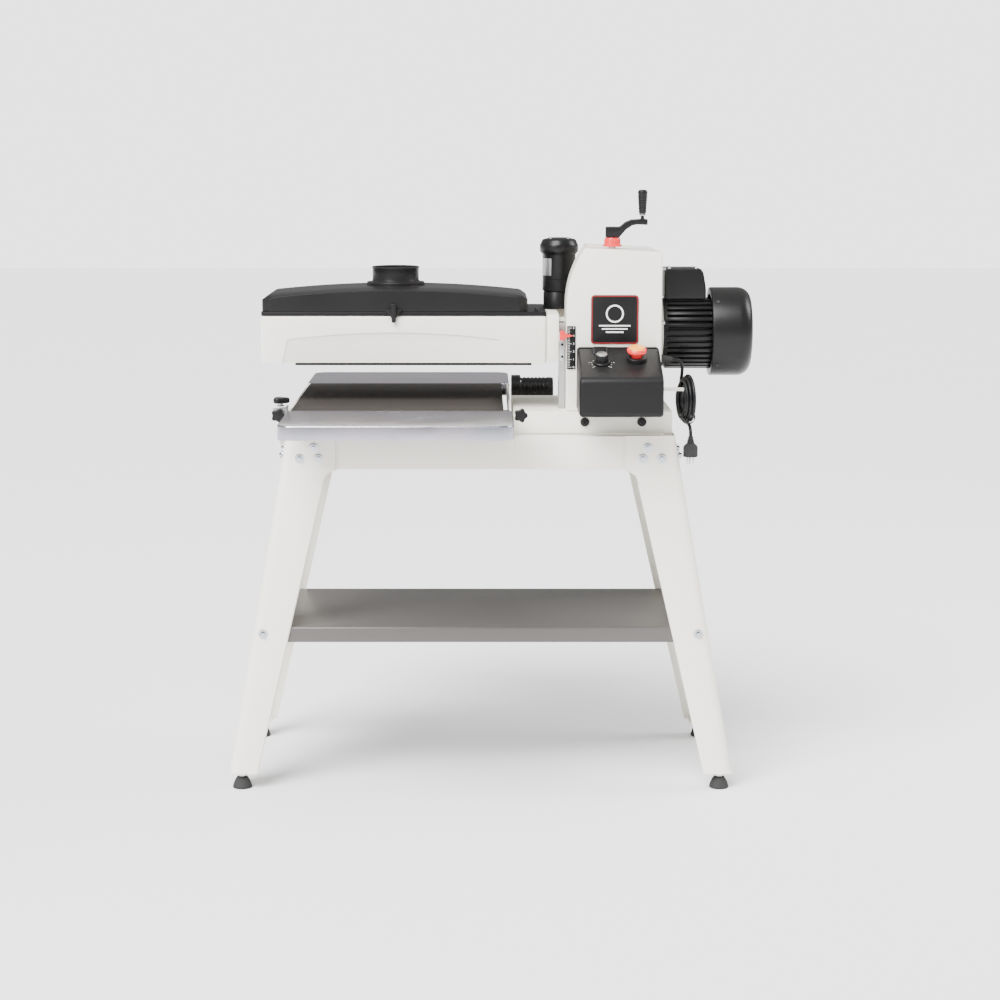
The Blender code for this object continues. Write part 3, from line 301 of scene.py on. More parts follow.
@dataclass(frozen=True)
class Metal:
    """Bare, plated or machined metal."""

    name: str
    colour: Point
    tint: Point
    roughness: float
    lines: float = 300.0
    depth: float = 0.10
    stretch: Point = (1.0, 1.0, 1.0)

    def make(self) -> bpy.types.Material:
        """Builds the material."""
        values = {"Colour": (*self.colour, 1), "Tint": (*self.tint, 1), "Lines": self.lines,
            "Depth": self.depth,
                  "Roughness": self.roughness}
        return make_material(self.name, Groups.metal, values, {"Metallic": 1.0}, self.stretch)


@dataclass(frozen=True)
class Abrasive:
    """Coated abrasive cloth."""

    name: str
    colour: Point
    facet: Point
    grain: float

    def make(self) -> bpy.types.Material:
        """Builds the material."""
        values = {"Colour": (*self.colour, 1), "Facet": (*self.facet, 1), "Grain": self.grain, "Depth": 0.6}
        return make_material(self.name, Groups.grit, values, {"Roughness": 0.78, "Specular IOR Level": 0.2})


class Finish(enum.Enum):
    """The machine's finishes."""

    POWDER = Coating("powder_coat", (0.87, 0.84, 0.755), 0.38, drift=0.04, peel_scale=750.0, peel=0.10,
        dust=0.03, specular=0.4)
    MOULDED = Coating("moulded_plastic", (0.0095, 0.009, 0.0095), 0.36, drift=0.30, peel_scale=1500.0,
        peel=0.14, dust=0.012, specular=0.22)
    PANEL = Coating("panel_plastic", (0.008, 0.0078, 0.0083), 0.44, drift=0.25, peel_scale=2200.0,
        peel=0.22, dust=0.010, specular=0.20)
    MOTOR = Coating("motor_paint", (0.006, 0.006, 0.0065), 0.32, drift=0.30, peel_scale=1100.0, peel=0.14,
        dust=0.012, specular=0.25)
    SHELF = Coating("shelf_paint", (0.007, 0.0066, 0.0063), 0.45, drift=0.25, peel_scale=650.0, peel=0.12,
        dust=0.006, specular=0.05)
    RUBBER = Coating("rubber", (0.008, 0.008, 0.0085), 0.60, drift=0.30, peel_scale=1600.0, peel=0.18,
        dust=0.02, specular=0.22)
    LEAD = Coating("cord_sheath", (0.006, 0.006, 0.007), 0.42, drift=0.20, peel_scale=2500.0, peel=0.08,
        dust=0.02, specular=0.25)
    RED = Coating("red_plastic", (0.17, 0.0005, 0.001), 0.28, drift=0.08, peel_scale=1300.0, peel=0.03,
        dust=0.003, coat=0.0, specular=0.25)
    AMBER = Coating("amber_plastic", (0.90, 0.34, 0.02), 0.28, drift=0.06, peel_scale=1300.0, peel=0.03,
        dust=0.01, coat=0.2)
    MARKING = Coating("marking_ink", (0.86, 0.86, 0.84), 0.50, drift=0.03, peel_scale=1500.0, peel=0.03,
        dust=0.01)
    RED_INK = Coating("red_ink", (0.19, 0.0005, 0.001), 0.42, drift=0.04, peel_scale=1500.0, peel=0.03,
        dust=0.005)
    TABLE = Metal("rolled_steel", (0.42, 0.50, 0.58), (0.70, 0.56, 0.62), 0.24, lines=14.0, depth=0.0,
        stretch=(1.0, 0.7, 0.5))
    STEEL = Metal("ground_steel", (0.52, 0.52, 0.53), (0.60, 0.59, 0.57), 0.28, lines=420.0, depth=0.10,
        stretch=(6.0, 1.0, 1.0))
    CHROME = Metal("bright_plating", (0.55, 0.58, 0.62), (0.45, 0.48, 0.54), 0.14, lines=240.0, depth=0.03)
    ZINC = Metal("zinc_plating", (0.66, 0.66, 0.64), (0.58, 0.59, 0.62), 0.32, lines=520.0, depth=0.12)
    LABEL = Metal("label_foil", (0.60, 0.60, 0.60), (0.66, 0.66, 0.66), 0.34, lines=900.0, depth=0.06,
        stretch=(0.3, 8.0, 8.0))
    CAST = Metal("cast_alloy", (0.50, 0.49, 0.47), (0.42, 0.42, 0.41), 0.46, lines=800.0, depth=0.35)
    BELT = Abrasive("belt_grit", (0.030, 0.026, 0.023), (0.058, 0.051, 0.045), 1500.0)
    WRAP = Abrasive("wrap_grit", (0.20, 0.060, 0.030), (0.42, 0.20, 0.12), 1300.0)

    def material(self) -> bpy.types.Material:
        """The finish's material, made at its first use."""
        known = bpy.data.materials.get(self.value.name)
        return known if known else self.value.make()


# ------------------------------------------------------------------ modelling bench
def leave_edit() -> None:
    """Goes back to object mode."""
    bpy.ops.object.mode_set(mode="OBJECT")


def deselect() -> None:
    """Leaves nothing selected and nothing active in edit mode."""
    if bpy.context.mode != "OBJECT":
        leave_edit()
    bpy.ops.object.select_all(action="DESELECT")


def take(piece: bpy.types.Object) -> None:
    """Selects one piece alone and makes it active."""
    deselect()
    piece.select_set(True)
    bpy.context.view_layer.objects.active = piece


def edit_all(piece: bpy.types.Object) -> None:
    """Opens a piece in edit mode with everything selected."""
    take(piece)
    bpy.ops.object.mode_set(mode="EDIT")
    bpy.ops.mesh.select_all(action="SELECT")


def shade(piece: bpy.types.Object, under: float = SMOOTH_UNDER) -> None:
    """Smooths the shading over edges flatter than an angle in degrees."""
    take(piece)
    bpy.ops.object.shade_smooth_by_angle(angle=math.radians(under))


def thicken(piece: bpy.types.Object, wall: float) -> None:
    """Gives a sheet its thickness, inwards."""
    sheet = piece.modifiers.new("sheet", "SOLIDIFY")
    sheet.thickness = wall
    sheet.offset = -1.0
    bake_modifiers(piece)


@contextmanager
def mesh_work(piece: bpy.types.Object) -> Iterator[bmesh.types.BMesh]:
    """Opens a piece's mesh for editing and writes it back."""
    work = bmesh.new()
    work.from_mesh(piece.data)
    yield work
    work.to_mesh(piece.data)
    work.free()


def turn_towards(work: bmesh.types.BMesh, way: Point, above: float = -1.0) -> None:
    """Turns every face over if those above a height look away from a direction."""
    faces = [f for f in work.faces if f.calc_center_median().z > above]
    if sum(f.normal.dot(way) * f.calc_area() for f in faces) < 0:
        bmesh.ops.reverse_faces(work, faces=work.faces)


def settle(piece: bpy.types.Object) -> None:
    """Applies a piece's place to its mesh, so that its object sits at the origin."""
    take(piece)
    bpy.ops.object.transform_apply(location=True, rotation=True, scale=True)


def bake_modifiers(piece: bpy.types.Object) -> None:
    """Applies every modifier of a piece in order."""
    take(piece)
    for modifier in list(piece.modifiers):
        bpy.ops.object.modifier_apply(modifier=modifier.name)


def round_edges(piece: bpy.types.Object, width: float, segments: int = 3,
    angle: float = SHARP_OVER) -> None:
    """Breaks a piece's sharp edges with a rounded bevel and smooths its shading.

    Args:
        piece: the piece.
        width: the bevel's width in metres.
        segments: the bevel's segments.
        angle: edges sharper than this, in degrees, are rounded.
    """
    if width > 0:
        bevel = piece.modifiers.new("edges", "BEVEL")
        bevel.width = width
        bevel.segments = segments
        bevel.limit_method = "ANGLE"
        bevel.angle_limit = math.radians(angle)
        bake_modifiers(piece)
    shade(piece)


def recalculate(piece: bpy.types.Object, merge: float = 1e-6) -> None:
    """Merges doubled points and turns every face outwards."""
    edit_all(piece)
    bpy.ops.mesh.remove_doubles(threshold=merge)
    bpy.ops.mesh.dissolve_degenerate(threshold=merge)
    bpy.ops.mesh.select_all(action="SELECT")
    bpy.ops.mesh.normals_make_consistent(inside=False)
    leave_edit()


def bench_box(name: str, low: Point, high: Point, edge: float = 0.001,
    segments: int = 3) -> bpy.types.Object:
    """A block between two corners with rounded edges.

    Args:
        name: the piece's name.
        low: lowest corner.
        high: highest corner.
        edge: width of the rounded edges.
        segments: segments of each rounded edge.

    Returns:
        The piece.
    """
    deselect()
    middle = [(a + b) / 2 for a, b in zip(low, high)]
    bpy.ops.mesh.primitive_cube_add(size=1.0, location=middle, scale=[b - a for a, b in zip(low, high)])
    made = bpy.context.object
    made.name = name
    settle(made)
    round_edges(made, edge, segments)
    return made


def outline_object(name: str, outline: Sequence[Flat]) -> bpy.types.Object:
    """A filled ring in the XY plane whose points are an outline's.

    Args:
        name: the piece's name.
        outline: (u, v) points, in order.

    Returns:
        The flat piece.
    """
    deselect()
    bpy.ops.mesh.primitive_circle_add(vertices=len(outline), radius=1.0, fill_type="NGON")
    made = bpy.context.object
    made.name = name
    for vertex, (u, v) in zip(made.data.vertices, outline):
        vertex.co = (u, v, 0.0)
    return made


AXIS_FRAMES = {
    Axis.X: Matrix(((0, 0, 1, 0), (1, 0, 0, 0), (0, 1, 0, 0), (0, 0, 0, 1))),
    Axis.Y: Matrix(((1, 0, 0, 0), (0, 0, 1, 0), (0, 1, 0, 0), (0, 0, 0, 1))),
    Axis.Z: Matrix.Identity(4),
}


def bench_plate(name: str, outline: Sequence[Flat], low: float, high: float, axis: Axis,
    edge: float = 0.0008,
                segments: int = 2) -> bpy.types.Object:
    """An extruded outline with rounded edges.

    Args:
        name: the piece's name.
        outline: the outline in the plane across the axis: (y, z) for X, (x, z) for Y and (x, y) for Z.
        low: where the plate starts along the axis.
        high: where it ends.
        axis: the extrusion's direction.
        edge: width of the rounded edges.
        segments: segments of each rounded edge.

    Returns:
        The piece.
    """
    made = outline_object(name, outline)
    edit_all(made)
    bpy.ops.mesh.extrude_region_move(TRANSFORM_OT_translate={"value": (0, 0, high - low)})
    leave_edit()
    made.data.transform(AXIS_FRAMES[axis] @ Matrix.Translation((0, 0, low)))
    recalculate(made)
    round_edges(made, edge, segments)
    return made


def bench_lathe(name: str, profile: Sequence[Flat], centre: Point, axis: Axis | Matrix, steps: int = 48,
                smooth: float = SMOOTH_UNDER) -> bpy.types.Object:
    """A piece turned about an axis.

    Args:
        name: the piece's name.
        profile: (radius, place along the axis) points of a closed section, or of one that ends on the axis.
        centre: a point of the axis, from which the places count.
        axis: the axis, or the frame that turns +Z to it.
        steps: segments round the turn.
        smooth: angle under which the shading is smooth, in degrees.

    Returns:
        The piece.
    """
    made = outline_object(name, profile)
    for vertex in made.data.vertices:
        vertex.co = (vertex.co.x, 0.0, vertex.co.y)
    edit_all(made)
    bpy.ops.mesh.delete(type="ONLY_FACE")
    bpy.ops.mesh.select_all(action="SELECT")
    bpy.ops.mesh.spin(steps=steps, angle=2 * math.pi, center=(0, 0, 0), axis=(0, 0, 1))
    leave_edit()
    turn = axis.turn() if isinstance(axis, Axis) else axis
    made.data.transform(Matrix.Translation(centre) @ turn.to_3x3().to_4x4())
    recalculate(made, 2e-6)
    shade(made, smooth)
    return made


def bench_copy(node: str, edge: float, segments: int = 3, angle: float = SHARP_OVER) -> bpy.types.Object:
    """A merged copy of a frame node with its faces rejoined and its edges rounded.

    Args:
        node: the frame node.
        edge: width of the rounded edges.
        segments: segments of each rounded edge.
        angle: edges sharper than this, in degrees, are rounded.

    Returns:
        The piece.
    """
    source = frame["nodes"][node]
    made = bpy.data.objects.new(node + "_skin", source.data.copy())
    bpy.context.scene.collection.objects.link(made)
    for label in [a.name for a in made.data.attributes if a.name == "custom_normal"]:
        made.data.attributes.remove(made.data.attributes[label])
    made.data.materials.clear()
    edit_all(made)
    bpy.ops.mesh.remove_doubles(threshold=5e-6)
    bpy.ops.mesh.dissolve_limited(angle_limit=math.radians(0.6))
    leave_edit()
    round_edges(made, edge, segments, angle)
    return made


def fuse(name: str, pieces: Sequence[bpy.types.Object]) -> bpy.types.Object:
    """Joins pieces of one finish into one object.

    Args:
        name: the joined piece's name.
        pieces: the pieces, none used again.

    Returns:
        The joined piece.
    """
    deselect()
    for piece in pieces:
        piece.select_set(True)
    bpy.context.view_layer.objects.active = pieces[0]
    if len(pieces) > 1:
        bpy.ops.object.join()
    pieces[0].name = name
    return pieces[0]


def arc(centre: Flat, radius: float, start: float, end: float, count: int) -> list[Flat]:
    """Points on a circular arc.

    Args:
        centre: the arc's centre.
        radius: its radius.
        start: first angle in degrees.
        end: last angle in degrees.
        count: segments.

    Returns:
        The points, ends included.
    """
    angles = [math.radians(start + (end - start) * i / count) for i in range(count + 1)]
    return [(centre[0] + radius * math.cos(a), centre[1] + radius * math.sin(a)) for a in angles]


def rounded_rectangle(low: Flat, high: Flat, radius: float, count: int = 6) -> list[Flat]:
    """A rectangle's outline with round corners."""
    x0, y0 = low
    x1, y1 = high
    points = arc((x1 - radius, y0 + radius), radius, -90, 0, count)
    points += arc((x1 - radius, y1 - radius), radius, 0, 90, count)
    points += arc((x0 + radius, y1 - radius), radius, 90, 180, count)
    points += arc((x0 + radius, y0 + radius), radius, 180, 270, count)
    return points


@dataclass
class SubAssembly:
    """A group of pieces that ride on one body."""

    body: str

    def fit(self, piece: bpy.types.Object, finish: Finish, slot: str, *stands_for: str,
        body: Optional[str] = None) -> bpy.types.Object:
        """Dresses a piece and fastens it to a body.

        Args:
            piece: the finished piece.
            finish: its finish.
            slot: the record's material slot it takes after; not used.
            stands_for: frame nodes that it replaces.
            body: the body it rides on, if not the group's own.

        Returns:
            The piece.
        """
        piece.data.materials.clear()
        piece.data.materials.append(finish.material())
        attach(piece, body or self.body)
        if stands_for:
            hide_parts(*stands_for)
        LOG.info("%s on %s: %d faces", piece.name, body or self.body, len(getattr(piece.data, "polygons",
            ())))
        return piece

    def skin(self, node: str, edge: float, finish: Finish, slot: str, segments: int = 3,
        angle: float = SHARP_OVER,
             body: Optional[str] = None) -> bpy.types.Object:
        """Replaces a frame node with a copy whose edges are rounded."""
        return self.fit(bench_copy(node, edge, segments, angle), finish, slot, node, body=body)

    def coat(self, node: str, finish: Finish) -> None:
        """Gives a frame node that stays its finish."""
        shown = frame["nodes"][node]
        if not shown.material_slots:
            shown.data.materials.append(finish.material())
        for holder in shown.material_slots:
            holder.material = finish.material()
        LOG.info("%s keeps its shape and wears %s", node, finish.value.name)


def hex_bolt(name: str, place: Point, direction: Vector, across: float = 0.012) -> bpy.types.Object:
    """A flanged hexagon bolt head with its washer.

    Args:
        name: the piece's name.
        place: middle of the washer's underside.
        direction: the way the head points.
        across: the hexagon's width over its corners.

    Returns:
        The piece.
    """
    turn = Vector((0, 0, 1)).rotation_difference(direction.normalized()).to_matrix().to_4x4()
    washer = bench_lathe(name, [(0.0, 0.0), (across * 0.82, 0.0), (across * 0.82, 0.0012), (across * 0.66,
        0.0016), (0.0, 0.0016)],
                         place, turn, 28)
    head = bench_lathe(name + "_head", [(0.0, 0.0014), (across * 0.5, 0.0014), (across * 0.5, 0.0062),
        (across * 0.42, 0.0074), (0.0, 0.0074)],
                       place, turn, 6, 20.0)
    return fuse(name, [washer, head])


def button_head(wide: float, side: float, flat: float, shoulder: float, top: float) -> list[Flat]:
    """A small screw head's profile.

    Args:
        wide: the head's radius.
        side: height of its straight side.
        flat: radius of its top.
        shoulder: height of the top's rim.
        top: height of the top's middle.

    Returns:
        The profile for bench_lathe.
    """
    return [(0, 0), (wide, 0), (wide, side), (flat, shoulder), (0, top)]


def bench_grid(name: str, columns: int, rows: int, place: Callable[[float, float],
    Point]) -> bpy.types.Object:
    """A sheet whose points follow a rule.

    Args:
        name: the piece's name.
        columns: faces along the first parameter.
        rows: faces along the second.
        place: gives a point from two shares between 0 and 1; the sheet faces (first x second).

    Returns:
        The piece.
    """
    deselect()
    bpy.ops.mesh.primitive_grid_add(x_subdivisions=columns, y_subdivisions=rows, size=1.0)
    made = bpy.context.object
    made.name = name
    for vertex in made.data.vertices:
        vertex.co = place(vertex.co.x + 0.5, vertex.co.y + 0.5)
    edit_all(made)
    bpy.ops.mesh.remove_doubles(threshold=1e-5)
    leave_edit()
    shade(made)
    return made


def bench_tray(name: str, outline: Sequence[Flat], top: float, depth: float, sheet: float,
    bend: float) -> bpy.types.Object:
    """A pressed sheet with its rim folded down over a round bend.

    Args:
        name: the piece's name.
        outline: the outline seen from above.
        top: height of the flat top.
        depth: depth of the folded rim.
        sheet: the sheet's thickness.
        bend: radius of the fold.

    Returns:
        The piece.
    """
    made = outline_object(name, outline)
    edit_all(made)
    bpy.ops.mesh.extrude_region_move(TRANSFORM_OT_translate={"value": (0, 0, depth)})
    leave_edit()
    made.data.transform(Matrix.Translation((0, 0, top - depth)))
    with mesh_work(made) as work:
        under = [f for f in work.faces if all(v.co.z < top - depth / 2 for v in f.verts)]
        bmesh.ops.delete(work, geom=under, context="FACES_ONLY")
        bmesh.ops.recalc_face_normals(work, faces=work.faces)
        rim = [e for e in work.edges if all(v.co.z > top - depth / 2 for v in e.verts)
            and len(e.link_faces) == 2]
        bmesh.ops.bevel(work, geom=rim, offset=bend, segments=5, profile=0.5, affect="EDGES",
            clamp_overlap=True)
        turn_towards(work, (0, 0, 1))
    thicken(made, sheet)
    shade(made)
    return made


def carve(piece: bpy.types.Object, *cutters: bpy.types.Object) -> bpy.types.Object:
    """Cuts holes in a piece and removes the cutters."""
    for cutter in cutters:
        hole = piece.modifiers.new("hole", "BOOLEAN")
        hole.operation = "DIFFERENCE"
        hole.object = cutter
        bake_modifiers(piece)
        bpy.data.objects.remove(cutter, do_unlink=True)
    shade(piece)
    return piece


def lobed(centre: Flat, radius: float, swell: float, lobes: int, count: int) -> list[Flat]:
    """A round outline whose radius rises and falls once for each lobe."""
    made = []
    for k in range(count):
        angle = 2 * math.pi * k / count
        reach = radius + swell * math.cos(lobes * angle)
        made.append((centre[0] + reach * math.cos(angle), centre[1] + reach * math.sin(angle)))
    return made


def soft_corners(points: Sequence[Flat], radius: float, count: int = 5) -> list[Flat]:
    """A polygon's outline with each corner rounded by a short curve."""
    made: list[Flat] = []
    size = len(points)
    for i, corner in enumerate(points):
        here = Vector((*corner, 0))
        before = Vector((*points[i - 1], 0)) - here
        after = Vector((*points[(i + 1) % size], 0)) - here
        start = here + before.normalized() * min(radius, before.length * 0.45)
        end = here + after.normalized() * min(radius, after.length * 0.45)
        for k in range(count + 1):
            t = k / count
            at = start * (1 - t) ** 2 + here * 2 * t * (1 - t) + end * t * t
            made.append((at.x, at.y))
    return made


def joint(name: str) -> dict:
    """The frame's joint of that name."""
    return next(j for j in frame["joints"] if j["name"] == name)


def frame_at(origin: Sequence[float], normal: Sequence[float]) -> Matrix:
    """A frame at a point whose Z is the normal and whose X stays level."""
    up = Vector(normal).normalized()
    level = Vector((1, 0, 0))
    away = up.cross(level).normalized()
    made = Matrix((level, away, up)).transposed().to_4x4()
    made.translation = Vector(origin)
    return made


# ------------------------------------------------------------------ stand
@dataclass
class Stand(SubAssembly):
    """Folded legs, aprons, pressed shelf, levelling feet and their bolts."""

    body: str = "stand"
    sheet: float = 0.0025
    fold: float = 0.020
    lip: float = 0.011
    outer_top: float = 0.398
    front_top: float = 0.180
    splay_x: float = 0.176
    splay_y: float = 0.065

    def build(self) -> None:
        """Makes the stand's pieces."""
        self.middle = sum(c.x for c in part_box("stand_shelf")) / 2
        for side, across in ((-1, "left"), (1, "right")):
            for face, along in ((-1, "front"), (1, "rear")):
                self.leg(f"leg_{along}_{across}", side, face)
                self.foot(f"foot_{along}_{across}")
        for name in ("apron_front", "apron_rear", "apron_left", "apron_right"):
            self.skin(name, 0.0011, Finish.POWDER, "white_enamel", 3)
        self.shelf()
        self.bolts()

    def leg(self, name: str, side: int, face: int) -> None:
        """One folded leg that splays both ways and runs out into a gusset under the apron.

        Args:
            name: the frame node that it replaces.
            side: -1 at the left, 1 at the right.
            face: -1 at the operator's side, 1 at the rear.
        """
        low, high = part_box(name)
        top = high.z
        foot = low.z + 0.0005
        knee, hem = 0.630, 0.664
        inner_top, inner_knee, inner_splay = 0.296, 0.3225, 0.2334
        stations = [foot + (knee - foot) * i / 10 for i in range(11)]
        stations += [knee + (hem - knee) * math.sin(math.pi / 2 * i / 10) for i in range(1, 11)]
        stations += [hem + (top - hem) * i / 3 for i in range(1, 4)]

        def section(z: float) -> list[Flat]:
            outer = self.outer_top + (top - z) * self.splay_x
            front = self.front_top + (top - z) * self.splay_y
            if z >= hem:
                inner = inner_top
            elif z > knee:
                rise = (z - knee) / (hem - knee)
                inner = inner_knee - (inner_knee - inner_top) * (1 - math.sqrt(max(0.0, 1 - rise * rise)))
            else:
                inner = inner_knee + (knee - z) * inner_splay
            fade = min(1.0, max(0.0, (0.655 - z) / 0.03))
            lip = self.sheet + (self.lip - self.sheet) * fade
            flank = front - 0.045 - 0.06 * z
            bend = arc((outer - self.fold, front - self.fold), self.fold, 90, 0, 8)
            soft = arc((inner + 0.003, front - 0.003), 0.003, 180, 90, 3)
            return [(inner, front - lip)] + soft + [((inner + outer) / 2, front)] + bend + [(outer, flank)]

        sections = [section(z) for z in stations]
        columns = len(sections[0]) - 1
        rows = len(stations) - 1

        def place(across: float, up: float) -> Point:
            row = round(up * rows)
            x, y = sections[row][round(across * columns)]
            return (self.middle + side * x, face * y, stations[row])

        leg = bench_grid(name + "_fold", columns, rows, place)
        with mesh_work(leg) as work:
            turn_towards(work, (0, face, 0))
        thicken(leg, self.sheet)
        pad_x = sorted((self.middle + side * 0.470, self.middle + side * 0.5195))
        pad_y = sorted((face * 0.182, face * 0.2235))
        sole = bench_box(name + "_sole", (pad_x[0], pad_y[0], foot), (pad_x[1], pad_y[1], foot + 0.004),
            0.0008)
        whole = fuse(name + "_sheet", [leg, sole])
        shade(whole, 35)
        self.fit(whole, Finish.POWDER, "white_enamel", name)

    def foot(self, name: str) -> None:
        """A levelling foot: rubber dome, threaded stem and a lock nut."""
        low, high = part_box(name)
        at = ((low.x + high.x) / 2, (low.y + high.y) / 2, 0.0)
        dome = [(0, 0), (0.0185, 0), (0.0198, 0.0008), (0.0200, 0.0030), (0.0194, 0.0055), (0.0176, 0.0110),
            (0.0155, 0.0160),
                (0.0128, 0.0205), (0.0110, 0.0228), (0.0092, 0.0236), (0, 0.0236)]
        self.fit(bench_lathe(name + "_dome", dome, at, Axis.Z, 48), Finish.RUBBER, "rubber", name)
        thread = [(0, 0.0220)]
        pitch = 0.00125
        turns = int((high.z - 0.0240) / pitch)
        for k in range(turns):
            thread += [(0.0049, 0.0230 + k * pitch), (0.0042, 0.0230 + (k + 0.5) * pitch)]
        thread += [(0.0040, high.z - 0.0005), (0, high.z - 0.0005)]
        stem = bench_lathe(name + "_thread", thread, at, Axis.Z, 24)
        nut = bench_lathe(name + "_nut", [(0.0048, 0.0252), (0.0096, 0.0252), (0.0100, 0.0258),
            (0.0100, 0.0318), (0.0094, 0.0325),
                                          (0.0048, 0.0325)], at, Axis.Z, 6, 20)
        self.fit(fuse(name + "_stem", [stem, nut]), Finish.ZINC, "steel")

    def shelf(self) -> None:
        """The pressed shelf with its folded rim."""
        low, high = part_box("stand_shelf")
        corner = 0.024
        outline = [(low.x + corner, low.y), (high.x - corner, low.y), (high.x, low.y + corner),
            (high.x, high.y - corner),
                   (high.x - corner, high.y), (low.x + corner, high.y), (low.x, high.y - corner),
                       (low.x, low.y + corner)]
        shelf = bench_tray("stand_shelf_pressing", outline, high.z, high.z - low.z, 0.0015, 0.005)
        self.fit(shelf, Finish.SHELF, "shelf_paint", "stand_shelf")

    def bolts(self) -> None:
        """Hexagon bolts through the legs into the aprons and the shelf, each riding with the stand."""
        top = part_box("leg_front_left")[1].z
        rows = ((0.341, 0.709), (0.370, 0.687), (0.331, 0.687), (0.4475, 0.326))
        made = []
        for side in (-1, 1):
            for face in (-1, 1):
                for x, z in rows:
                    y = self.front_top + (top - z) * self.splay_y
                    tilt = Vector((0, face, -self.splay_y))
                    made.append(hex_bolt("stand_bolt", (self.middle + side * x, face * (y + 0.0002), z),
                        tilt, 0.0115))
                for y, z in ((0.118, 0.700), (0.150, 0.690)):
                    x = self.outer_top + (top - z) * self.splay_x
                    tilt = Vector((side, 0, -self.splay_x))
                    made.append(hex_bolt("stand_bolt", (self.middle + side * (x + 0.0002), face * y, z),
                        tilt, 0.0115))
        self.fit(fuse("stand_bolts", made), Finish.CHROME, "steel")


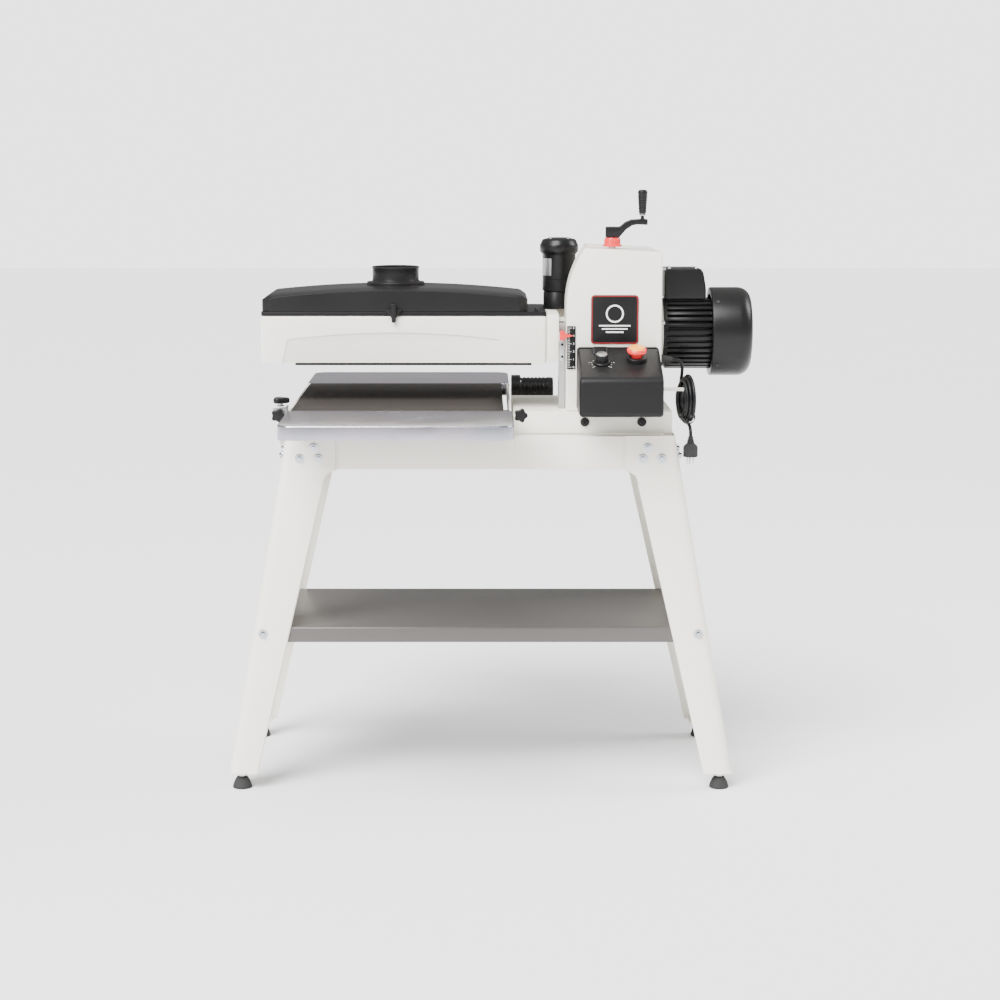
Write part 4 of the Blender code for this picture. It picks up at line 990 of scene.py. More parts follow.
# ------------------------------------------------------------------ base, column and conveyor
@dataclass
class Column(SubAssembly):
    """Base pan, column housing, badge, depth scale and the welded cord hook."""

    body: str = "stand"
    wall: float = 0.003

    def build(self) -> None:
        """Makes the base's and the column's pieces."""
        self.skin("machine_base", 0.0012, Finish.POWDER, "white_enamel", 3)
        self.housing()
        self.badge()
        self.scale()
        self.coat("guide_rail", Finish.STEEL)

    def housing(self) -> None:
        """The column: a curved front half, a square rear half and the slot for the spindle."""
        low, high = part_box("column_housing")
        right = 0.347
        left, notch_x, notch_y = low.x, 0.200, -0.035
        corner_x, curve_z, fall = 0.190, 0.990, 0.008
        bottom, top = low.z, high.z
        sweep = [(left + (corner_x - left) * (1 - k / 24) ** 2.2, curve_z + (top - curve_z) * (1 - k / 24))
            for k in range(25)]
        front = bench_plate("column_front", [(right, bottom), (right, top - fall)] + sweep + [(left,
            bottom)], low.y, notch_y, Axis.Y,
                            0.0038, 4)
        rear_outline = [(right, bottom), (right, top - fall - 0.001), (notch_x, top - 0.0015),
            (notch_x, bottom)]
        rear = bench_plate("column_rear", rear_outline, notch_y - 0.010, high.y, Axis.Y, 0.0038, 4)
        inner = bench_box("inner", (notch_x + self.wall, low.y + self.wall, bottom - 0.01),
            (right - self.wall, high.y - self.wall, top - 0.020), 0)
        slot = bench_box("slot", (notch_x - 0.02, -0.0335, 0.795), (right + 0.02, 0.0345, 0.985), 0)
        peg_z = 0.8235
        hook = bench_plate("cord_hook", soft_corners([(right - 0.001, peg_z - 0.003),
            (0.4150, peg_z - 0.003), (0.4150, peg_z + 0.014),
                                                      (0.4120, peg_z + 0.014), (0.4120, peg_z + 0.003),
                                                          (right - 0.001, peg_z + 0.003)], 0.003),
                           -0.135, -0.123, Axis.Y, 0.0008)
        carve(front, bench_copy_of(inner, "inner_front"))
        carve(rear, inner, slot)
        seam = [bench_box("column_screw_seat", (right - 0.0002, y - 0.007, z - 0.007), (right + 0.0006,
            y + 0.007, z + 0.007), 0.0002, 1)
                for y in (-0.128, 0.128) for z in (0.960, 1.070)]
        self.fit(fuse("column_shell", [front, rear, hook] + seam), Finish.POWDER, "white_enamel",
            "column_housing")
        screws = [hex_bolt("column_screw", (right + 0.0005, y, z), Vector((1, 0, 0)), 0.008)
            for y in (-0.128, 0.128) for z in (0.960, 1.070)]
        self.fit(fuse("column_screws", screws), Finish.ZINC, "steel")

    def badge(self) -> None:
        """A plain plate with a red border and a generic sign: a drum over a board."""
        low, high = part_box("badge_plate")
        face = low.y
        plate = bench_plate("badge_plate_blank", rounded_rectangle((low.x, low.z), (high.x, high.z),
            0.0075), face + 0.0004, high.y, Axis.Y, 0.0003)
        self.fit(plate, Finish.PANEL, "black_plastic", "badge_plate")
        outer = bench_plate("badge_border", rounded_rectangle((low.x + 0.0006, low.z + 0.0006),
            (high.x - 0.0006, high.z - 0.0006), 0.0070),
                            face + 0.0001, face + 0.0006, Axis.Y, 0.0)
        inner = bench_plate("badge_window", rounded_rectangle((low.x + 0.0034, low.z + 0.0034),
            (high.x - 0.0034, high.z - 0.0034), 0.0045),
                            face - 0.01, face + 0.01, Axis.Y, 0.0)
        self.fit(carve(outer, inner), Finish.RED_INK, "red_plastic")
        middle_x = (low.x + high.x) / 2
        middle_z = (low.z + high.z) / 2 + 0.012
        ring = bench_lathe("badge_sign", [(0.0150, 0.0001), (0.0182, 0.0001), (0.0182, 0.0006),
            (0.0150, 0.0006)], (middle_x, face, middle_z), Axis.Y, 48)
        bars = [bench_box("badge_bar", (middle_x - half, face + 0.0001, middle_z - drop - 0.0014),
            (middle_x + half, face + 0.0006, middle_z - drop + 0.0014), 0.0)
                for half, drop in ((0.032, 0.0245), (0.026, 0.0310), (0.018, 0.0375))]
        self.fit(fuse("badge_sign", [ring] + bars), Finish.MARKING, "black_plastic")

    def scale(self) -> None:
        """The depth scale: a dark strip with printed ticks and plain numbers."""
        low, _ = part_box("depth_scale")
        self.skin("depth_scale", 0.0003, Finish.PANEL, "black_plastic", 2)
        face = low.y
        step, start, count, every = 0.0032, low.z + 0.004, 26, 5
        ticks = []
        for k in range(count):
            z = start + k * step
            reach = 0.0085 if k % every == 0 else 0.0048
            ticks.append(bench_box("scale_tick", (low.x + 0.001, face - 0.0003, z - 0.0003),
                (low.x + 0.001 + reach, face + 0.0001, z + 0.0003), 0.0))
        for k in range(0, count, every):
            ticks.append(numeral(str(k // every), 0.0062, (low.x + 0.0135, face - 0.0001,
                start + k * step)))
        self.fit(fuse("scale_marks", ticks), Finish.MARKING, "black_plastic")


def bench_copy_of(piece: bpy.types.Object, name: str) -> bpy.types.Object:
    """A second object with its own mesh."""
    made = piece.copy()
    made.data = piece.data.copy()
    made.name = name
    bpy.context.scene.collection.objects.link(made)
    return made


def numeral(text: str, size: float, place: Point) -> bpy.types.Object:
    """A printed number that faces the operator.

    Args:
        text: the digits.
        size: height of the type.
        place: the middle of the number.

    Returns:
        The number as a thin mesh.
    """
    deselect()
    bpy.ops.object.text_add(location=(0, 0, 0))
    made = bpy.context.object
    made.data.body = text
    made.data.size = size
    made.data.align_x = "CENTER"
    made.data.align_y = "CENTER"
    made.data.extrude = 0.00015
    made.data.resolution_u = 3
    take(made)
    bpy.ops.object.convert(target="MESH")
    made = bpy.context.object
    made.data.transform(Matrix.Translation(place) @ Matrix.Rotation(math.pi / 2, 4, "X"))
    made.data.update()
    return made


@dataclass
class Conveyor(SubAssembly):
    """Tables, belt, bed, rollers, gearmotor and belt tension screws."""

    body: str = "stand"

    def build(self) -> None:
        """Makes the conveyor's pieces."""
        for name, face in (("infeed_table", -1), ("outfeed_table", 1)):
            self.table(name, face)
        self.belt()
        for name in ("conveyor_rail_left", "conveyor_rail_right"):
            self.skin(name, 0.0008, Finish.POWDER, "white_enamel", 2)
        self.coat("conveyor_bed", Finish.CAST)
        self.coat("drive_roller", Finish.RUBBER)
        self.coat("idler_roller", Finish.STEEL)
        self.gearmotor()
        self.tension()

    def table(self, name: str, face: int) -> None:
        """A rolled-steel table with its rim folded down and round outer corners."""
        low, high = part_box(name)
        radius = 0.030
        near, far = (high.y, low.y) if face < 0 else (low.y, high.y)
        y0, y1 = sorted((near, far))
        corners = rounded_rectangle((low.x, y0), (high.x, y1), radius, 10)
        square = [(x, near if abs(y - near) < radius + 1e-6 else y) for x, y in corners]
        outline: list[Flat] = []
        for x, y in square:
            if abs(y - near) < 1e-9:
                x = low.x if x < (low.x + high.x) / 2 else high.x
            if not outline or (Vector(outline[-1]) - Vector((x, y))).length > 1e-6:
                outline.append((x, y))
        if (Vector(outline[0]) - Vector(outline[-1])).length < 1e-6:
            outline.pop()
        tray = bench_tray(name + "_pressing", outline, high.z, high.z - low.z, 0.0016, 0.0032)
        self.fit(tray, Finish.TABLE, "galvanised", name)

    def belt(self) -> None:
        """The endless belt, a smooth loop round both rollers."""
        low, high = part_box("conveyor_belt")
        thick = 0.002
        radius = (high.z - low.z) / 2
        axis_z = (high.z + low.z) / 2
        reach = high.y - radius
        outer = arc((reach, axis_z), radius, -90, 90, 20)
        outer += [(reach - 2 * reach * k / 40, high.z) for k in range(1, 40)]
        outer += arc((-reach, axis_z), radius, 90, 270, 20)
        outer += [(-reach + 2 * reach * k / 40, low.z) for k in range(1, 41)]
        steps = len(outer) - 1

        def place(along: float, across: float) -> Point:
            y, z = outer[round(along * steps)]
            return (low.x + (high.x - low.x) * across, y, z)

        belt = bench_grid("feed_belt", steps, 12, place)
        with mesh_work(belt) as work:
            bmesh.ops.recalc_face_normals(work, faces=work.faces)
            turn_towards(work, (0, 0, 1), axis_z + radius * 0.9)
        thicken(belt, thick)
        self.fit(belt, Finish.BELT, "abrasive_belt", "conveyor_belt")

    def gearmotor(self) -> None:
        """The conveyor's drive: flange, gearbox, finned can and rear cap."""
        low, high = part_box("conveyor_gearmotor")
        centre = (low.x, (low.y + high.y) / 2, (low.z + high.z) / 2)
        profile = [(0.0065, 0.0), (0.0340, 0.0), (0.0350, 0.0010), (0.0350, 0.0190), (0.0340, 0.0200),
            (0.0300, 0.0210)]
        for k in range(7):
            x = 0.0240 + k * 0.0085
            profile += [(0.0285, x), (0.0285, x + 0.0025), (0.0300, x + 0.0030), (0.0300, x + 0.0080)]
        profile += [(0.0300, 0.0890), (0.0280, 0.0930), (0.0, 0.0930), (0.0, 0.0120), (0.0065, 0.0120)]
        self.fit(bench_lathe("conveyor_drive_can", profile, centre, Axis.X, 56), Finish.MOTOR,
            "black_paint", "conveyor_gearmotor")
        screws = [bench_lathe("drive_screw", button_head(0.0026, 0.0016, 0.0019, 0.0024, 0.0024),
                              (low.x + 0.0195, centre[1] + 0.0322 * math.cos(a),
                                  centre[2] + 0.0322 * math.sin(a)), Axis.X, 16)
                  for a in FOUR_CORNERS]
        self.fit(fuse("drive_screws", screws), Finish.ZINC, "steel")

    def tension(self) -> None:
        """Lobed knobs on threaded stems, and the left one's bracket."""
        self.skin("tension_bracket", 0.0008, Finish.ZINC, "steel", 2)
        self.tracking_knob()
        for name, body in (("tension_knob_left", "knob_left"), ("tension_knob_right", "knob_right")):
            low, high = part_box(name)
            x, z = (low.x + high.x) / 2, (low.z + high.z) / 2
            outline = lobed((x, z), 0.0140 * 0.88, 0.0140 * 0.12, 5, 60)
            grip = bench_plate(name + "_grip", outline, low.y, low.y + 0.018, Axis.Y, 0.0022, 4)
            self.fit(grip, Finish.MOULDED, "black_plastic", name, body=body)
            thread = [(0.0, 0.016)]
            for k in range(34):
                thread += [(0.0040, 0.0180 + k * 0.00125), (0.0034, 0.0180 + (k + 0.5) * 0.00125)]
            thread += [(0.0034, 0.0615), (0.0, 0.0615)]
            self.fit(bench_lathe(name + "_screw", thread, (x, low.y, z), Axis.Y, 24), Finish.ZINC, "steel",
                body=body)

    def tracking_knob(self) -> None:
        """The flat lobed knob that stands on the left bracket, and the plated stud under it."""
        low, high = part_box("tension_bracket")
        x, y, z = (low.x + high.x) / 2, (low.y + high.y) / 2, high.z
        outline = lobed((x, y), 0.0185 * 0.86, 0.0185 * 0.14, 3, 72)
        self.fit(bench_plate("tracking_knob", outline, z + 0.0060, z + 0.0175, Axis.Z, 0.0040, 5),
            Finish.MOULDED, "black_plastic")
        stud = bench_lathe("tracking_stud", [(0, z), (0.0085, z), (0.0085, z + 0.0014),
            (0.0050, z + 0.0020), (0.0050, z + 0.0058), (0, z + 0.0058)],
                           (x, y, 0), Axis.Z, 32)
        self.fit(stud, Finish.ZINC, "steel")


# ------------------------------------------------------------------ head
@dataclass
class Head(SubAssembly):
    """Arm casing, carriage, pointer, bearings and everything fixed to the sliding head."""

    body: str = "head"

    def build(self) -> None:
        """Makes the head's fixed pieces."""
        self.casing()
        self.skin("head_carriage", 0.0010, Finish.POWDER, "white_enamel", 2, 40)
        self.pointer()
        self.coat("outboard_bearing", Finish.CAST)
        self.coat("inboard_bearing", Finish.STEEL)

    def pointer(self) -> None:
        """The red pointer on its plated strip, beside the depth scale."""
        low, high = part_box("depth_pointer")
        split, middle = high.z - 0.0190, high.z - 0.0095
        body_right = low.x + 0.0105
        tip = [(low.x, split), (body_right, split), (body_right, middle - 0.0055), (high.x, middle),
            (body_right, middle + 0.0055),
               (body_right, high.z), (low.x, high.z)]
        arrow = bench_plate("pointer_arrow", tip, low.y, low.y + 0.0030, Axis.Y, 0.0004)
        self.fit(arrow, Finish.RED, "red_plastic", "depth_pointer")
        strip = bench_box("pointer_strip", (low.x, low.y + 0.0004, low.z), (body_right, low.y + 0.0024,
            split), 0.0005)
        arm = bench_box("pointer_arm", (low.x, low.y + 0.0028, split - 0.004), (low.x + 0.0030, high.y,
            high.z - 0.004), 0.0005)
        self.fit(fuse("pointer_bracket", [strip, arm]), Finish.ZINC, "steel")
        screws = [bench_lathe("pointer_screw", button_head(0.0028, 0.0008, 0.0018, 0.0016, 0.0016),
                              (low.x + 0.0052, low.y + 0.0004, z), Matrix.Rotation(math.pi / 2, 4, "X"), 20)
                                  for z in (low.z + 0.008, split - 0.008)]
        self.fit(fuse("pointer_screws", screws), Finish.MOULDED, "black_plastic")

    def casing(self) -> None:
        """The arm's casing with its embossed arch, a black strip on its top that paints the shadow gap
        under the cover and also stands for a gasket, and the dark lip of the shroud below it.
        """
        low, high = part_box("arm_casing")
        bottom = low.z
        top = high.z - 0.0035
        casing = bench_tray("arm_shell", rounded_rectangle((low.x, low.y), (high.x, high.y), 0.006, 4), top,
            top - bottom, 0.003, 0.006)
        cover_low, cover_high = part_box("dust_cover")
        window_low, window_high = (cover_low.x + 0.020, -0.090), (cover_high.x - 0.020, 0.090)
        window = bench_box("window", (*window_low, top - 0.02), (*window_high, top + 0.02), 0)
        bore = bench_lathe("bore", [(0, -0.03), (0.033, -0.03), (0.033, 0.03), (0, 0.03)],
            (high.x, 0, 0.9325), Axis.X, 40)
        left, right = low.x + 0.0440, high.x - 0.0850
        middle, half = (left + right) / 2, (right - left) / 2
        arch = [(left - 0.001, bottom - 0.004), (left + 0.010, bottom + 0.045)]
        arch += [(middle + (half - 0.012) * s, bottom + 0.048 + 0.014 * (1 - s * s)) for s in (k / 14 - 1
            for k in range(29))]
        arch += [(right - 0.010, bottom + 0.045), (right + 0.001, bottom - 0.004)]
        recesses = []
        for face in (-1, 1):
            y0, y1 = sorted((face * (high.y - 0.0016), face * (high.y + 0.010)))
            recesses.append(bench_plate("arm_recess", soft_corners(arch, 0.004, 3), y0, y1, Axis.Y, 0.0007,
                2))
        self.fit(carve(casing, window, bore, *recesses), Finish.POWDER, "white_enamel", "arm_casing")
        # Black strip on the casing top: painted shadow filling the dark gap under the cover, and also a
        # gasket strip along the casing.
        shadow_strip_top = cover_low.z - 0.0003
        rim = bench_plate("arm_gasket_shadow_strip", rounded_rectangle((low.x + 0.0012, low.y + 0.0006), (high.x - 0.0004,
            high.y - 0.0006), 0.005, 4), top + 0.0002,
                          shadow_strip_top, Axis.Z, 0.0008)
        opening = bench_box("opening", (*window_low, top - 0.02), (*window_high, top + 0.02), 0)
        self.fit(carve(rim, opening), Finish.PANEL, "black_plastic")
        self.fit(hex_bolt("frame_bolt", (0.0930, -0.1080, shadow_strip_top), Vector((0, 0, 1)), 0.0085),
            Finish.MOULDED, "black_plastic")
        lip = [bench_box("shroud_lip", (low.x + 0.070, y - 0.0012, bottom - 0.0055), (high.x - 0.030,
            y + 0.0012, bottom + 0.010), 0.0006)
               for y in (-high.y + 0.0050, high.y - 0.0050)]
        self.fit(fuse("shroud_lips", lip), Finish.RUBBER, "rubber")
        fixings = [hex_bolt("arm_bolt", (high.x - 0.0130, high.y + 0.0002, z), Vector((0, 1, 0)), 0.0100)
                   for z in (bottom + 0.018, high.z - 0.020)]
        self.fit(fuse("arm_bolts", fixings), Finish.ZINC, "steel")


@dataclass
class Drum(SubAssembly):
    """Drum, abrasive wrap, shaft, fan and the pressure rollers."""

    body: str = "drum"

    def build(self) -> None:
        """Makes the turning pieces under the arm."""
        self.coat("drum", Finish.CAST)
        low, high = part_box("abrasive_wrap")
        centre = (0.0, (low.y + high.y) / 2, (low.z + high.z) / 2)
        outer = (high.y - low.y) / 2
        inner = outer - 0.0005
        wrap = bench_lathe("abrasive_strip", [(inner, low.x), (outer, low.x), (outer, high.x),
            (inner, high.x)], centre, Axis.X, 128)
        self.fit(wrap, Finish.WRAP, "abrasive_wrap", "abrasive_wrap")
        self.coat("drum_shaft", Finish.STEEL)
        self.coat("motor_fan", Finish.MOULDED)
        for name, body in (("infeed_roller", "infeed_pressure"), ("outfeed_roller", "outfeed_pressure")):
            low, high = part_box(name)
            centre = (0.0, (low.y + high.y) / 2, (low.z + high.z) / 2)
            radius = (high.z - low.z) / 2
            profile = [(0, low.x), (0.0046, low.x), (0.0050, low.x + 0.0005), (0.0050, low.x + 0.012),
                (radius - 0.001, low.x + 0.012),
                       (radius, low.x + 0.013), (radius, high.x - 0.013), (radius - 0.001, high.x - 0.012),
                           (0.0050, high.x - 0.012),
                       (0.0050, high.x - 0.0005), (0.0046, high.x), (0, high.x)]
            self.fit(bench_lathe(name + "_sleeve", profile, centre, Axis.X, 40), Finish.RUBBER, "rubber",
                name, body=body)


@dataclass
class DustCover(SubAssembly):
    """The crowned, hinged cover with its port and latch."""

    body: str = "cover"
    wall: float = 0.003
    half_y: float = 0.118

    def build(self) -> None:
        """Makes the cover, its port and its latch."""
        self.moulding()
        self.latch()

    def roof(self) -> bpy.types.Object:
        """A hip roof crowned along its length, with sides that drop from its rim.

        Returns:
            The shell, not yet dressed.
        """
        low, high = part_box("dust_cover")
        half_y = self.half_y
        eaves, crowning, ridge_rise = 1.0095, 0.0155, 0.0065
        end_eaves, end_run, side_run = 1.0060, 0.0145, 0.050
        corner_cut, corner_run = 0.017, 0.012
        blend, dip = 0.004, 0.0007
        middle = (low.x + high.x) / 2
        half_x = (high.x - low.x) / 2
        columns, rows = 88, 44

        def spread(share: float) -> float:
            centred = 2 * share - 1
            return math.copysign(1 - (1 - abs(centred)) ** 1.6, centred)

        def place(across: float, along: float) -> Point:
            u, v = spread(across), spread(along)
            crown = 1 - u * u
            shoulder = eaves + crowning * crown
            ridge = shoulder + ridge_rise
            y = half_y * v
            cut = corner_cut * max(0.0, (abs(y) - half_y + corner_run) / corner_run)
            half = half_x - cut
            from_end = half * (1 - abs(u))
            from_side = half_y * (1 - abs(v))
            slope_end = end_eaves + (ridge - end_eaves) * min(1.0, from_end / end_run)
            slope_side = shoulder + (ridge - shoulder) * math.sin(math.pi / 2 * min(1.0,
                from_side / side_run))
            rise = min(slope_end, slope_side)
            spare = max(0.0, blend - abs(slope_end - slope_side)) / blend
            rise -= spare * spare * dip
            return (middle + half * u, y, rise)

        roof = bench_grid("cover_roof", columns, rows, place)
        relax = roof.modifiers.new("soften", "SMOOTH")
        relax.factor = 0.5
        relax.iterations = 3
        edge_group = roof.vertex_groups.new(name="inside")
        inside = [v.index for v in roof.data.vertices if abs(abs(v.co.y) - half_y) > 1e-5
            and abs(abs(v.co.x - middle) - half_x) > 1e-5]
        edge_group.add(inside, 1.0, "REPLACE")
        relax.vertex_group = "inside"
        bake_modifiers(roof)
        with mesh_work(roof) as work:
            rim = [e for e in work.edges if len(e.link_faces) == 1]
            made = bmesh.ops.extrude_edge_only(work, edges=rim)
            hem_z = 0.9825
            for vertex in [g for g in made["geom"] if isinstance(g, bmesh.types.BMVert)]:
                vertex.co.z = hem_z
            fold = [e for e in work.edges if len(e.link_faces) == 2
                and abs(e.link_faces[0].normal.z - e.link_faces[1].normal.z) > 0.5]
            bmesh.ops.recalc_face_normals(work, faces=work.faces)
            turn_towards(work, (0, 0, 1))
            bmesh.ops.bevel(work, geom=fold, offset=0.0022, segments=3, profile=0.5, affect="EDGES",
                clamp_overlap=True)
        thicken(roof, self.wall)
        return roof

    def moulding(self) -> None:
        """The cover itself: the roof, its port, the hinge lug and the hinge pins."""
        roof = self.roof()
        _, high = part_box("dust_cover")
        port_x, outer, top = -0.200, 0.0485, high.z
        hole = bench_lathe("port_hole", [(0, -0.05), (outer - 0.0040, -0.05), (outer - 0.0040, 0.05),
            (0, 0.05)], (port_x, 0, 1.03), Axis.Z, 64)
        carve(roof, hole)
        inner = outer - 0.0035
        profile = [(inner, 1.0260), (outer + 0.0120, 1.0260), (outer + 0.0120, 1.0352), (outer + 0.0105,
            1.0370), (outer + 0.0030, 1.0374),
                   (outer + 0.0008, 1.0390), (outer, 1.0420), (outer, top - 0.0060), (outer + 0.0010,
                       top - 0.0045), (outer + 0.0010, top - 0.0012),
                   (outer, top - 0.0002), (outer - 0.0014, top), (inner + 0.0008, top),
                       (inner, top - 0.0008)]
        port = bench_lathe("cover_port", profile, (port_x, 0, 0), Axis.Z, 96)
        lug = bench_box("cover_lug", (-0.300, self.half_y - 0.004, 0.9845), (-0.100, high.y, 0.9965), 0.003)
        self.fit(fuse("cover_moulding", [roof, port, lug]), Finish.MOULDED, "black_plastic", "dust_cover")
        pins = [bench_lathe("cover_hinge_pin", [(0, x0), (0.0035, x0), (0.0035, x0 + 0.030),
            (0, x0 + 0.030)], (0, 0.1255, 0.9900), Axis.X, 24)
                for x0 in (-0.330, -0.100)]
        self.fit(fuse("cover_hinge_pins", pins), Finish.ZINC, "steel")

    def latch(self) -> None:
        """The swinging catch at the front of the cover."""
        low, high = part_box("cover_latch")
        x = (low.x + high.x) / 2
        wing = bench_plate("latch_wing", soft_corners([(x - 0.0185, 0.9870), (x, 0.9640),
            (x + 0.0185, 0.9870)], 0.003), -0.1255, -0.1208, Axis.Y,
                           0.0010, 3)
        tab = bench_plate("latch_tab", soft_corners([(x - 0.0042, low.z), (x + 0.0042, low.z),
            (x + 0.0055, high.z), (x - 0.0055, high.z)], 0.0025),
                          low.y, -0.1245, Axis.Y, 0.0010, 3)
        self.fit(fuse("cover_catch", [wing, tab]), Finish.MOULDED, "black_plastic", "cover_latch",
            body="latch")


# ------------------------------------------------------------------ motors
@dataclass
class Motors(SubAssembly):
    """Drum motor with its guard and capacitor box, and the oscillation motor."""

    body: str = "head"

    def build(self) -> None:
        """Makes the motors' pieces."""
        self.axis_z = sum(c.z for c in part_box("drum_shaft")) / 2
        self.frame_body()
        self.guard()
        self.capacitor()
        self.oscillation()

    def frame_body(self) -> None:
        """The finned body, its end bell and tie bolts."""
        self.skin("motor_body", 0.0006, Finish.MOTOR, "black_paint", 2, 40)
        low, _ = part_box("motor_body")
        bolts = [hex_bolt("motor_bolt", (low.x - 0.0002, 0.062 * math.cos(a),
            self.axis_z + 0.062 * math.sin(a)), Vector((-1, 0, 0)), 0.009)
                 for a in FOUR_CORNERS]
        for bolt in bolts:
            bolt.data.transform(Matrix.Translation((0.0105, 0, 0)))
        self.fit(fuse("motor_bolts", bolts), Finish.ZINC, "steel")

    def guard(self) -> None:
        """The fan's guard: a domed sheet cover with a grille of ring slots between spokes."""
        low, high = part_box("motor_fan_cover")
        outer = (high.y - low.y) / 2
        left, right, wall = low.x, high.x, 0.0025
        rim = [(0.0790, left)]
        rim += arc((outer - 0.002, left + 0.002), 0.002, -90, 0, 4)
        rim += [(outer, right - 0.032)]
        rim += [(outer - 0.0235 + 0.0235 * math.cos(a), right - 0.0270 + 0.0270 * math.sin(a))
            for a in (math.pi / 2 * k / 14 for k in range(15))]
        rim += [(0.0660, right), (0.0660, right - wall), (outer - 0.0245, right - wall)]
        rim += [(outer - 0.0245 + 0.0220 * math.cos(a), right - 0.0270 + 0.0245 * math.sin(a))
            for a in (math.pi / 2 * (13 - k) / 14 for k in range(14))]
        rim += [(outer - wall, left + wall), (0.0790, left + wall)]
        shell = bench_lathe("guard_shell", rim, (0, 0, self.axis_z), Axis.X, 112)
        parts = [shell]
        for radius in (0.0130, 0.0220, 0.0310, 0.0400, 0.0490, 0.0580):
            ring = [(radius - 0.0022, right - wall), (radius + 0.0018, right - wall), (radius + 0.0022,
                right - wall + 0.0004),
                    (radius + 0.0022, right - 0.0006), (radius + 0.0016, right), (radius - 0.0016, right),
                        (radius - 0.0022, right - 0.0006)]
            parts.append(bench_lathe("guard_ring", ring, (0, 0, self.axis_z), Axis.X, 80))
        for k in range(8):
            spoke = bench_box("guard_spoke", (right - wall + 0.0002, -0.0022, 0.0120), (right - 0.0003,
                0.0022, 0.0670), 0.0004, 1)
            spoke.data.transform(Matrix.Translation((0, 0, self.axis_z)) @ Matrix.Rotation(math.pi / 4 * k,
                4, "X"))
            parts.append(spoke)
        self.fit(fuse("motor_guard", parts), Finish.MOTOR, "black_paint", "motor_fan_cover")
        screws = [bench_lathe("guard_screw", button_head(0.0040, 0.0012, 0.0030, 0.0026, 0.0028),
                              (left + 0.012, (outer - 0.0004) * math.sin(a),
                                  self.axis_z + (outer - 0.0004) * math.cos(a)),
                              Matrix.Rotation(-a, 4, "X"), 20) for a in FOUR_CORNERS]
        self.fit(fuse("guard_screws", screws), Finish.RUBBER, "steel")

    def capacitor(self) -> None:
        """The box on top of the motor and its lid screws."""
        low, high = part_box("capacitor_box")
        outline = soft_corners([(low.x, low.z), (high.x, low.z), (high.x, 1.0240), (high.x - 0.0060,
            high.z - 0.008), (high.x - 0.012, high.z),
                                (low.x, high.z)], 0.006, 6)
        box = bench_plate("capacitor_case", outline, low.y, high.y, Axis.Y, 0.0040, 5)
        hollow = bench_box("capacitor_space", (low.x + 0.003, low.y + 0.003, low.z - 0.01), (high.x - 0.009,
            high.y - 0.003, high.z - 0.008), 0)
        self.fit(carve(box, hollow), Finish.MOTOR, "black_paint", "capacitor_box")
        screws = [bench_lathe("case_screw", button_head(0.0034, 0.0008, 0.0025, 0.0020, 0.0022),
            (x, y, high.z - 0.0003), Axis.Z, 20)
                  for x in (low.x + 0.010, high.x - 0.021) for y in (low.y + 0.010, high.y - 0.010)]
        self.fit(fuse("case_screws", screws), Finish.ZINC, "steel")

    def oscillation(self) -> None:
        """The upright gearmotor that moves the drum to and fro."""
        low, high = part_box("oscillation_motor")
        centre = ((low.x + high.x) / 2, (low.y + high.y) / 2, low.z)
        profile = [(0, 0), (0.0330, 0), (0.0330, 0.0330), (0.0322, 0.0345), (0.0322, 0.0365),
            (0.0342, 0.0372), (0.0350, 0.0382),
                   (0.0350, 0.0600), (0.0343, 0.0606), (0.0343, 0.0624), (0.0350, 0.0630), (0.0350, 0.1130),
                       (0.0360, 0.1150), (0.0396, 0.1190),
                   (0.0405, 0.1205), (0.0405, 0.1330), (0.0400, 0.1345), (0.0362, 0.1432), (0.0340, 0.1455),
                       (0.0200, 0.1490), (0, 0.1490)]
        self.fit(bench_lathe("oscillation_can", profile, centre, Axis.Z, 72), Finish.MOTOR, "black_paint",
            "oscillation_motor")
        first, last = 186, 240.4
        label = arc(centre[:2], 0.0352, first, last, 16) + arc(centre[:2], 0.0346, last, first, 16)
        blank = bench_plate("oscillation_plate", label, centre[2] + 0.0700, centre[2] + 0.1060, Axis.Z, 0.0)
        self.fit(blank, Finish.LABEL, "steel")
        screws = [bench_lathe("can_screw", button_head(0.0030, 0.0010, 0.0022, 0.0020, 0.0022),
                              (centre[0] + 0.0255 * math.cos(a), centre[1] + 0.0255 * math.sin(a),
                                  high.z - 0.0022), Axis.Z, 16)
                  for a in FOUR_CORNERS]
        self.fit(fuse("can_screws", screws), Finish.ZINC, "steel")


